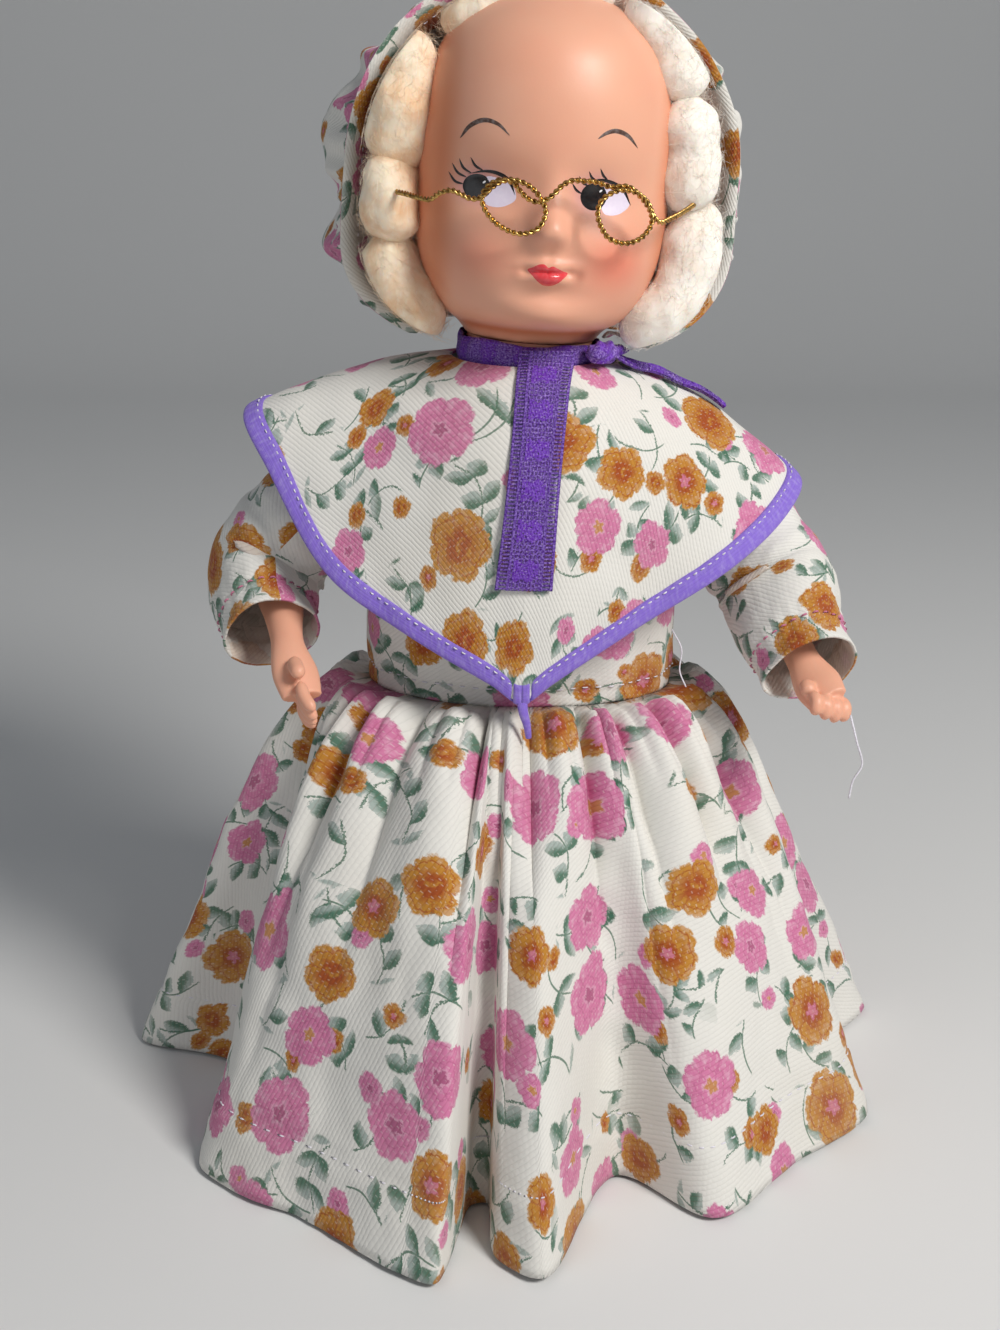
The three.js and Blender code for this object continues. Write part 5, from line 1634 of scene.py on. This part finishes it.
def build_crown(cloth):
    start = BRIM_FRONT + size("brim_depth") - 0.8
    crown_depth = size("crown_depth")

    def crown_place(s, t):
        angle = s * TURN - math.pi / 2
        share = (1 - t) ** 1.15
        w, h = curve_through(CROWN_KEYS)(share)
        spread = heading(angle)
        wander = noise.noise(spread * 2.4 + Vector((7, 0, 0)))
        reach = 0.5 + 0.5 * noise.noise(spread * 5.2)
        gather = math.sin(44 * angle + 6 * wander) * 1.2 * (1 - ease(share, 0.06, 0.22 + 0.3 * reach))
        puff = math.sin(11 * angle + 5 * wander) * 1.9 * ease(share, 0.03, 0.25) * (1 - ease(share, 0.6, 0.95))
        fold = clouds(spread * 2.1 + UP * share * 2.6) * 2.6 * ease(share, 0.05, 0.3)
        fold *= 1 - 0.6 * ease(share, 0.85, 1)
        lift = gather + puff + fold - 1.2
        here = bonnet_ring(angle, max(size("crown_half_width") * w + lift, 0.4),
                           max(size("bonnet_half_height") * h + lift, 0.4), -1, start + share * crown_depth)
        if share >= 1:
            return Vector((0, start + crown_depth, bonnet_centre() - 1))
        here.y += 0.35 * fold * ease(share, 0.5, 0.9)
        return here

    def crown_flat(s, t):
        share = (1 - t) ** 1.15
        angle = s * TURN
        return math.cos(angle) * (1 - share) * 82 + 460, math.sin(angle) * (1 - share) * 82 + 90

    bm = bmesh.new()
    surface(bm, 420, 80, crown_place, crown_flat)
    cut_flat(bm, BONNET_FLOOR)
    crown = finish_piece(bm, "bonnet_crown_cloth", head_place(), cloth, "head")
    thicken(crown, size("cloth_thickness"), -1.0, 1)
    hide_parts("bonnet_crown")
    return crown


def build_bonnet(cloth, thread):
    brim, seam = build_brim(cloth, thread)
    crown = build_crown(cloth)


# Cotton wool hair

# Places counted by the head: shares of its half width, of the face's depth and of its height
HAIR_ROLLS = {
    "top_hair_roll": [(-0.74, 0.11, 0.885), (-0.39, 0.14, 0.965), (-0.03, 0.17, 0.99), (0.3, 0.17, 0.98)],
    "right_upper_hair_roll": [(-1.06, 0.17, 0.8), (-1.13, 0.19, 0.64), (-1.13, 0.19, 0.49)],
    "right_middle_hair_roll": [(-1.16, 0.14, 0.46), (-1.16, 0.22, 0.37), (-1.13, 0.19, 0.3)],
    "right_lower_hair_roll": [(-1.16, 0.17, 0.24), (-1.05, 0.2, 0.12), (-0.83, 0.25, 0.03)],
    "left_upper_hair_roll": [(0.63, 0.25, 0.945), (0.86, 0.28, 0.86), (1.01, 0.29, 0.76)],
    "left_middle_hair_roll": [(1.04, 0.31, 0.68), (1.09, 0.32, 0.555), (1.04, 0.31, 0.45)],
    "left_lower_hair_roll": [(1.22, 0.25, 0.39), (1.19, 0.28, 0.27), (1.07, 0.31, 0.15), (0.8, 0.33, 0.05)],
}
HAIR_EASE = 4.2
HAIR_BAND = 5.2
FIBRE_RADIUS = 0.064


def on_head(across, out, level):
    return Vector((across * size("head_half_width"), -out * size("face_depth"),
                   HEAD_BOTTOM + level * size("head_height")))


def inside_brim(place, clear):
    """Keeps a place of the cotton inside the bonnet where the brim is round it."""
    share = brim_share(min(max((place.y - BRIM_FRONT) / size("brim_depth"), 0), 1))
    wide, tall = size("bonnet_half_width"), size("bonnet_half_height")
    angle = math.atan2((place.z - bonnet_centre()) / tall, place.x / wide)
    rim = bonnet_ring(angle, wide * share - clear, tall * share - clear, 0, place.y)
    centre = Vector((0, place.y, bonnet_centre()))
    room, reach = (rim - centre).length, (place - centre).length
    return centre + (place - centre) * (room / reach) if reach > room else place


def build_hair(wool):
    chance = random.Random(4)
    for number, (name, shares) in enumerate(HAIR_ROLLS.items()):
        radius = size("hair_radius") * (0.82 if name == "top_hair_roll" else 1.0)
        points = [on_head(*share) for share in shares]
        start = points[0] + (points[0] - points[1]).normalized() * HAIR_EASE
        end = points[-1] + (points[-1] - points[-2]).normalized() * HAIR_EASE
        line = Spline([start, *points[1:-1], end])
        steps, sides = 90, 84
        stations = frames_along(line, steps)

        def place(s, t, stations=stations, number=number, radius=radius):
            (centre, normal, binormal), row, ending = tube_row(stations, t)
            if ending:
                return centre.copy()
            out = about(normal, binormal, s * TURN)
            grown = rounded(row / steps, radius, 1.55)
            here = centre + out * grown
            lump = clouds(here / 12 + Vector((number * 7, 0, 0)), 2) * 1.7
            wisp = Vector((here.x / 3.4, here.y / 3.4, here.z / 8)) + Vector((0, number * 5, lump * 0.4))
            lump += clouds(wisp, 2) * 0.22
            here += out * lump * ease(grown, 0, radius * 0.6)
            here.y = lerp(centre.y, here.y, 0.88)
            return inside_brim(here, HAIR_BAND)

        bm = bmesh.new()
        surface(bm, sides, steps + 2, place)
        bmesh.ops.recalc_face_normals(bm, faces=bm.faces)
        bm.normal_update()
        skin = [(v.co.copy(), v.normal.copy()) for v in bm.verts if v.co.y < 6]
        roll = finish_piece(bm, f"{name}_wool", head_place(), wool, "head", closed=True)
        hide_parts(name)

        routes = []
        for _ in range(int(260 + 32 * line.length())):
            root, out = chance.choice(skin)
            drift = Vector([chance.uniform(-1, 1) for _ in range(3)])
            beside = out.cross(drift).normalized()
            reach, rise = chance.uniform(2.0, 7.0), chance.uniform(0.0, 0.45)
            bow = chance.uniform(0.02, 0.3)
            bend = out.cross(beside) * chance.uniform(-1.2, 1.2)
            ends = [root - out * 0.2, root + beside * reach * 0.35 + out * (rise * 0.5 + bow) + bend * 0.6,
                    root + beside * reach * 0.7 + out * (rise + bow * 0.6) + bend, root + beside * reach + out * rise]
            routes.append([inside_brim(p, HAIR_BAND - 0.6) for p in ends])
        bm = bmesh.new()
        strands(bm, routes, 3, lambda t: FIBRE_RADIUS * math.sqrt(t * (1 - t)))
        finish_piece(bm, f"{name}_fibres", head_place(), wool, "head")


# Spectacles

# One wire's way in the head's frame: temple, round one eye, over the nose, round the other, temple
WIRE_WAY = [
    (-45.3, -3.1, 45.6), (-40.9, -10.3, 45.7), (-36.6, -18.8, 45.9), (-32.7, -26.6, 45.7), (-29.8, -31.4, 45.8),
    (-27.7, -34.1, 47.6), (-25.1, -36.3, 48.6), (-22.9, -37.8, 48.1), (-20.9, -38.9, 47.3), (-18.6, -40.2, 47.4),
    (-17.2, -41.2, 48.6), (-15.1, -42.0, 50.7), (-13.2, -42.2, 51.9),
    (-10.6, -42.3, 52.4), (-6.7, -42.6, 51.3), (-3.6, -42.8, 48.5), (-2.3, -42.9, 45.6), (-3.4, -42.8, 42.0),
    (-5.9, -42.4, 40.4), (-8.9, -41.8, 40.0), (-12.5, -41.4, 41.2), (-15.3, -41.1, 43.2), (-17.2, -40.5, 45.8),
    (-17.6, -40.3, 48.3), (-16.0, -40.7, 50.8), (-13.2, -41.0, 52.2), (-10.2, -41.2, 51.5), (-8.5, -41.3, 49.7),
    (-6.5, -41.5, 48.2), (-4.2, -42.0, 47.7), (-2.0, -43.0, 48.7), (-0.6, -43.3, 50.0), (1.2, -43.2, 52.0),
    (3.4, -42.8, 53.2), (6.1, -42.3, 53.3), (9.7, -41.8, 53.2), (12.9, -41.4, 52.3),
    (17.4, -40.8, 52.6), (21.5, -39.6, 49.7), (23.7, -38.4, 46.9), (24.3, -38.0, 44.3), (22.9, -38.9, 41.7),
    (20.2, -40.0, 39.8), (17.0, -40.9, 39.3), (13.7, -41.5, 40.3), (11.5, -41.8, 42.9), (10.4, -42.1, 45.8),
    (10.9, -42.3, 48.8), (13.0, -42.3, 50.8), (15.4, -42.2, 51.8), (18.6, -41.6, 51.6), (21.2, -40.2, 50.4),
    (23.1, -38.6, 48.6), (24.8, -37.2, 45.8), (26.7, -35.6, 44.4), (29.7, -31.7, 45.1), (33.1, -25.9, 46.1),
    (37.4, -17.3, 47.6), (41.4, -9.1, 49.3),
]


WIRE_STEP = 0.26
WIRE_PITCH = 3.0


def build_spectacles(gold):
    line = Spline(WIRE_WAY)
    steps = int(line.length() / WIRE_STEP)
    stations = frames_along(line, steps)
    radius = size("wire_radius")
    bm = bmesh.new()
    for phase in (0.0, math.pi):
        def place(s, t, phase=phase):
            (centre, normal, binormal), row, ending = tube_row(stations, t)
            angle = phase + row / steps * line.length() / WIRE_PITCH * TURN
            centre = centre + about(normal, binormal, angle) * (radius * 0.9)
            return centre if ending else centre + about(normal, binormal, s * TURN) * radius
        surface(bm, 7, steps + 2, place)
    wire = finish_piece(bm, "twisted_wire", head_place(), gold, "head", closed=True)
    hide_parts("spectacles")


# Arms and legs

ARM_POSES = {
    "right": {"side": -1, "elbow": (26, 4, -31), "wrist": (19, -29, -46), "knuckles": (14.5, -39.5, -55),
              "palm": (-1, 0.2, 0.1), "length": 10, "curl": 18, "thumb": (1, 7.5, 3.6)},
    "left": {"side": 1, "elbow": (22, -4, -29), "wrist": (34, -35, -48), "knuckles": (37, -44, -51.5),
             "palm": (-0.2, -0.3, -1), "length": 8, "curl": 62, "thumb": (-1, 5, 1.2)},
}
UPPER_ARM = 7.8
WRIST = 4.2
FINGER = 1.9


def limb_dome(bm, side, seat, radius, length, height):
    """The snap flange, peg and dome at the root of a limb, turned about the joint's axis."""
    profile = [
        (-4.8, 0), (-4.8, 5.8), (-3.6, 7.2), (-2.4, 7.2), (-2.4, 5), (0.3, 5), (0.3, radius - 0.8),
        (0.9, radius), (length * 0.4, radius), (length * 0.7, radius * 0.86), (length * 0.9, radius * 0.52),
        (length * 0.97, radius * 0.26), (length + 0.3, 0)]
    rows = len(profile) - 1

    def spot(s, t):
        along, out = profile[round(t * rows)]
        along = along + SEAM_GAP if along > 0 else along
        angle = s * TURN
        return Vector((side * (seat + along), math.cos(angle) * out, height + math.sin(angle) * out))
    surface(bm, 48, rows, spot)


def build_arm(name, plastic):
    pose = ARM_POSES[name]
    side = pose["side"]
    root = from_root(side, (0, 0, 0))
    elbow, wrist, knuckles = (from_root(side, pose[key]) for key in ("elbow", "wrist", "knuckles"))
    line = Spline([
        root, root.lerp(elbow, 0.5) + Vector((side * 2, 0, 2)), elbow, elbow.lerp(wrist, 0.55), wrist,
        wrist.lerp(knuckles, 0.6), knuckles])
    half = curve_through([
        (0, UPPER_ARM, UPPER_ARM), (0.25, UPPER_ARM, UPPER_ARM * 0.97), (0.42, UPPER_ARM * 0.86, UPPER_ARM * 0.86),
        (0.6, UPPER_ARM * 0.84, UPPER_ARM * 0.8), (0.8, WRIST, WRIST * 1.06), (0.92, WRIST * 0.8, WRIST * 1.5),
        (1, WRIST * 0.6, WRIST * 1.3)])
    bm = bmesh.new()
    limb_dome(bm, side, SHOULDER_SEAT, 13.4, 18, shoulder_height())
    tube(bm, line, half, 30, 60)
    forward = (knuckles - wrist).normalized()
    palm = (from_root(side, pose["palm"]) - root).normalized()
    wide = forward.cross(palm).normalized()
    inward = wide.cross(forward).normalized()
    for n in (-1.5, -0.5, 0.5, 1.5):
        base = knuckles + wide * (n * FINGER * 1.75 * 0.95) - forward * 2
        length = pose["length"] - abs(n - 0.2) * 0.8
        knuckle = base + forward * (length * 0.55)
        bend = math.radians(pose["curl"])
        tip = knuckle + (forward * math.cos(bend) + inward * math.sin(bend)) * (length * 0.55)
        tube(bm, Spline([base, knuckle, tip]), roll_of(FINGER * 0.94), 16, 18)
    way, reach, spread = pose["thumb"]
    base = wrist.lerp(knuckles, 0.35) + wide * (way * WRIST)
    tip = base + forward * reach + wide * (way * spread)
    tube(bm, Spline([base, base.lerp(tip, 0.5), tip]), roll_of(FINGER * 1.1), 16, 18)
    arm = finish_piece(bm, f"{name}_arm_moulded", figure_place(), plastic, closed=True)
    remesh(arm, 0.42, 3)
    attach(arm, f"{name}_arm")
    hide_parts(f"{name}_arm")


def build_leg(name, plastic):
    """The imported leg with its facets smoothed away, down to the flat sole."""
    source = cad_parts[f"{name}_leg"]
    bm = bmesh.new()
    bm.from_mesh(source.data)
    bmesh.ops.remove_doubles(bm, verts=bm.verts, dist=1e-6)
    bm.transform(Matrix.Scale(1 / MM, 4))
    leg = finish_piece(bm, f"{name}_leg_moulded", Matrix(), plastic)
    remesh(leg, 0.6, 6)
    for v in leg.data.vertices:
        v.co.z = max(v.co.z, 0.0)
    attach(leg, f"{name}_leg")
    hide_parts(f"{name}_leg")


# Loose ends of sewing thread: piece, body, half width, steps and way
THREAD_ENDS = [
    ("cuff_thread_end", "left_arm", 0.28, 40,
     [(88, -50, 124), (89.6, -52.4, 117.5), (91.4, -52.2, 111), (89.4, -52, 106.5), (88.6, -52, 101.5)]),
    ("bodice_thread_end", "torso", 0.2, 36,
     [(44.2, -17.5, 137.0), (46.8, -19.5, 132), (46.4, -20.5, 126), (48.2, -21, 121.5)]),
]


def build_threads(thread):
    for name, body, radius, steps, way in THREAD_ENDS:
        bm = bmesh.new()
        tube(bm, Spline(way), lambda t, radius=radius: (radius, radius), 8, steps)
        finish_piece(bm, name, Matrix(), thread, body, closed=True)


# Stage

FOCAL_LENGTH = 47.86
SENSOR_WIDTH = 36
CAMERA_PLACE = (-0.003, -0.480, 0.285)
CAMERA_TILT = math.radians(71.1)
# Name, place, target, width, watts and tint
LAMPS = [
    ("window_light", (0.62, -0.6, 0.86), (0, 0, 0.19), 0.4, 11.0, (1.0, 0.985, 0.96)),
    ("fill_light", (-0.9, -0.7, 0.5), (0, 0, 0.15), 0.9, 1.5, (0.94, 0.97, 1.0)),
]
# The floor from front to back, the wall behind it and the bend between them, in millimetres
FLOOR_WIDTH, FLOOR_FRONT, FLOOR_BACK = 6000, -1800, 1600
WALL_HEIGHT, WALL_BEND = 2200, 500
ROOM_LIGHT = 0.24


def build_stage():
    """Camera at the photograph's angle, two soft lamps, a pale floor and a curved backdrop."""
    scene = bpy.context.scene
    lens = bpy.data.cameras.new("doll_camera")
    lens.lens = FOCAL_LENGTH
    lens.sensor_width = SENSOR_WIDTH
    camera = bpy.data.objects.new("doll_camera", lens)
    camera.location = CAMERA_PLACE
    camera.rotation_euler = (CAMERA_TILT, 0, 0)
    scene.collection.objects.link(camera)
    scene.camera = camera

    for name, place, target, across, watts, tint in LAMPS:
        light = bpy.data.lights.new(name, "AREA")
        light.shape = "DISK"
        light.size = across
        light.energy = watts
        light.color = tint
        lamp = bpy.data.objects.new(name, light)
        lamp.location = place
        lamp.rotation_euler = (Vector(target) - Vector(place)).to_track_quat("-Z", "Y").to_euler()
        scene.collection.objects.link(lamp)

    def stage_build(g):
        cloud = g.noise(g.add("ShaderNodeTexCoord").outputs["Object"], 6.0, 3.0)
        pale = mixed(paint("floor"), WHITE, 0.06)
        return {"Base Color": g.mix(cloud, paint("floor"), pale)}
    matte = material("stage_matte", stage_build, Roughness=0.95, Specular_IOR_Level=0.1)
    bend_start = FLOOR_BACK - WALL_BEND

    def sweep(s, t):
        x = (s - 0.5) * FLOOR_WIDTH
        run = t * 3
        if run < 1:
            return Vector((x, lerp(FLOOR_FRONT, bend_start, run), 0))
        if run < 2:
            angle = (run - 1) * math.pi / 2
            return Vector((x, bend_start + math.sin(angle) * WALL_BEND, WALL_BEND - math.cos(angle) * WALL_BEND))
        return Vector((x, FLOOR_BACK, lerp(WALL_BEND, WALL_HEIGHT, run - 2)))

    bm = bmesh.new()
    surface(bm, 4, 60, sweep)
    backdrop = shown_object(bm, "backdrop", Matrix(), matte)

    world = bpy.data.worlds.new("doll_room")
    world.use_nodes = True
    background = world.node_tree.nodes["Background"].inputs
    background["Color"].default_value = shade(214, 222, 232)
    background["Strength"].default_value = ROOM_LIGHT
    scene.world = world
    scene.view_settings.view_transform = "Standard"


# Operators and panel

WIDE_LACE, NARROW_LACE = 7.5, 40
REVERSE_FADE = 0.72


def print_cloth():
    """The print for a cloth's face and the paler one for its reverse."""
    return [print_cotton(), print_cotton("print_reverse", REVERSE_FADE)]


class DOLL_OT_stage(bpy.types.Operator):
    """Set up the camera, lamps, floor and backdrop"""
    bl_idname = "doll.stage"
    bl_label = "Stage"

    def execute(self, context):
        build_stage()
        return {"FINISHED"}


class DOLL_OT_limbs(bpy.types.Operator):
    """Mould the torso, arms and legs in satin plastic"""
    bl_idname = "doll.limbs"
    bl_label = "Body and Limbs"

    def execute(self, context):
        plastic = doll_plastic()
        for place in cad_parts["torso"].material_slots:
            place.material = plastic
        for name in ("right", "left"):
            build_arm(name, plastic)
            build_leg(name, plastic)
        return {"FINISHED"}


class DOLL_OT_head(bpy.types.Operator):
    """Mould the head and paint its face"""
    bl_idname = "doll.head"
    bl_label = "Head and Face"

    def execute(self, context):
        tree = build_head(doll_plastic("face_plastic", face=True))
        build_face(
            tree, plain_paint("eye_ink", paint("ink"), 0.24, 0.008), plain_paint("brow_paint", paint("brow"), 0.5),
            plain_paint("eye_white", shade(226, 214, 232), 0.35),
            plain_paint("eye_glint", shade(238, 238, 240), 0.3),
            plain_paint("lip_paint", paint("lips"), 0.2, 0.04))
        return {"FINISHED"}


class DOLL_OT_skirt(bpy.types.Operator):
    """Gather the skirt under the waist seam and stitch its hem"""
    bl_idname = "doll.skirt"
    bl_label = "Skirt"

    def execute(self, context):
        build_skirt(print_cloth(), thread_cloth())
        return {"FINISHED"}


class DOLL_OT_bodice(bpy.types.Operator):
    """Sew the bodice and both sleeves"""
    bl_idname = "doll.bodice"
    bl_label = "Bodice and Sleeves"

    def execute(self, context):
        cloth = print_cloth()
        build_bodice(cloth, thread_cloth())
        for name in ("right", "left"):
            build_sleeve(name, cloth, thread_cloth("cuff_thread", shade(206, 120, 150)))
        return {"FINISHED"}


class DOLL_OT_collar(bpy.types.Operator):
    """Drape the cape collar and bind its edge with tape"""
    bl_idname = "doll.collar"
    bl_label = "Cape Collar"

    def execute(self, context):
        build_collar(print_cloth(), tape_cloth(), thread_cloth())
        return {"FINISHED"}


class DOLL_OT_lace(bpy.types.Operator):
    """Tie the purple lace round the neck and hang its strip"""
    bl_idname = "doll.lace"
    bl_label = "Lace"

    def execute(self, context):
        wide, narrow = lace_cloth("wide_lace", WIDE_LACE), lace_cloth("narrow_lace", NARROW_LACE)
        tied = lace_cloth("tied_lace", NARROW_LACE, see_through=False)
        build_neck_band(tied)
        build_strip(wide)
        build_tail(narrow, build_knot(tied))
        return {"FINISHED"}


class DOLL_OT_bonnet(bpy.types.Operator):
    """Make the bonnet's brim and its puffed crown"""
    bl_idname = "doll.bonnet"
    bl_label = "Bonnet"

    def execute(self, context):
        build_bonnet(print_cloth(), thread_cloth())
        return {"FINISHED"}


class DOLL_OT_hair(bpy.types.Operator):
    """Tuck the rolls of cotton wool between head and bonnet"""
    bl_idname = "doll.hair"
    bl_label = "Cotton Hair"

    def execute(self, context):
        build_hair(cotton_wool())
        return {"FINISHED"}


class DOLL_OT_spectacles(bpy.types.Operator):
    """Bend the twisted wire into spectacles"""
    bl_idname = "doll.spectacles"
    bl_label = "Spectacles"

    def execute(self, context):
        build_spectacles(gold_wire())
        return {"FINISHED"}


class DOLL_OT_threads(bpy.types.Operator):
    """Leave the loose thread ends of the dress"""
    bl_idname = "doll.threads"
    bl_label = "Thread Ends"

    def execute(self, context):
        build_threads(thread_cloth())
        return {"FINISHED"}


OPERATORS = (
    DOLL_OT_stage, DOLL_OT_limbs, DOLL_OT_head, DOLL_OT_skirt, DOLL_OT_bodice, DOLL_OT_collar, DOLL_OT_lace,
    DOLL_OT_bonnet, DOLL_OT_hair, DOLL_OT_spectacles, DOLL_OT_threads,
)


class DOLL_PT_panel(bpy.types.Panel):
    """Lists the doll's pieces, sizes and colours in the sidebar"""
    bl_idname = "DOLL_PT_panel"
    bl_label = "Grandma Doll"
    bl_space_type = "VIEW_3D"
    bl_region_type = "UI"
    bl_category = "Doll"

    def draw(self, context):
        for operator in OPERATORS:
            self.layout.operator(operator.bl_idname)
        for group in (context.scene.doll_sizes, context.scene.doll_colours):
            box = self.layout.box()
            for name in group.__annotations__:
                box.prop(group, name)


CLASSES = (DollSizes, DollColours, *OPERATORS, DOLL_PT_panel)


def register():
    for cls in CLASSES:
        bpy.utils.register_class(cls)
    bpy.types.Scene.doll_sizes = bpy.props.PointerProperty(type=DollSizes)
    bpy.types.Scene.doll_colours = bpy.props.PointerProperty(type=DollColours)


def unregister():
    del bpy.types.Scene.doll_colours
    del bpy.types.Scene.doll_sizes
    for cls in reversed(CLASSES):
        bpy.utils.unregister_class(cls)


def main():
    register()
    for operator in OPERATORS:
        group, name = operator.bl_idname.split(".")
        getattr(getattr(bpy.ops, group), name)()


if __name__ == "__main__":
    main()
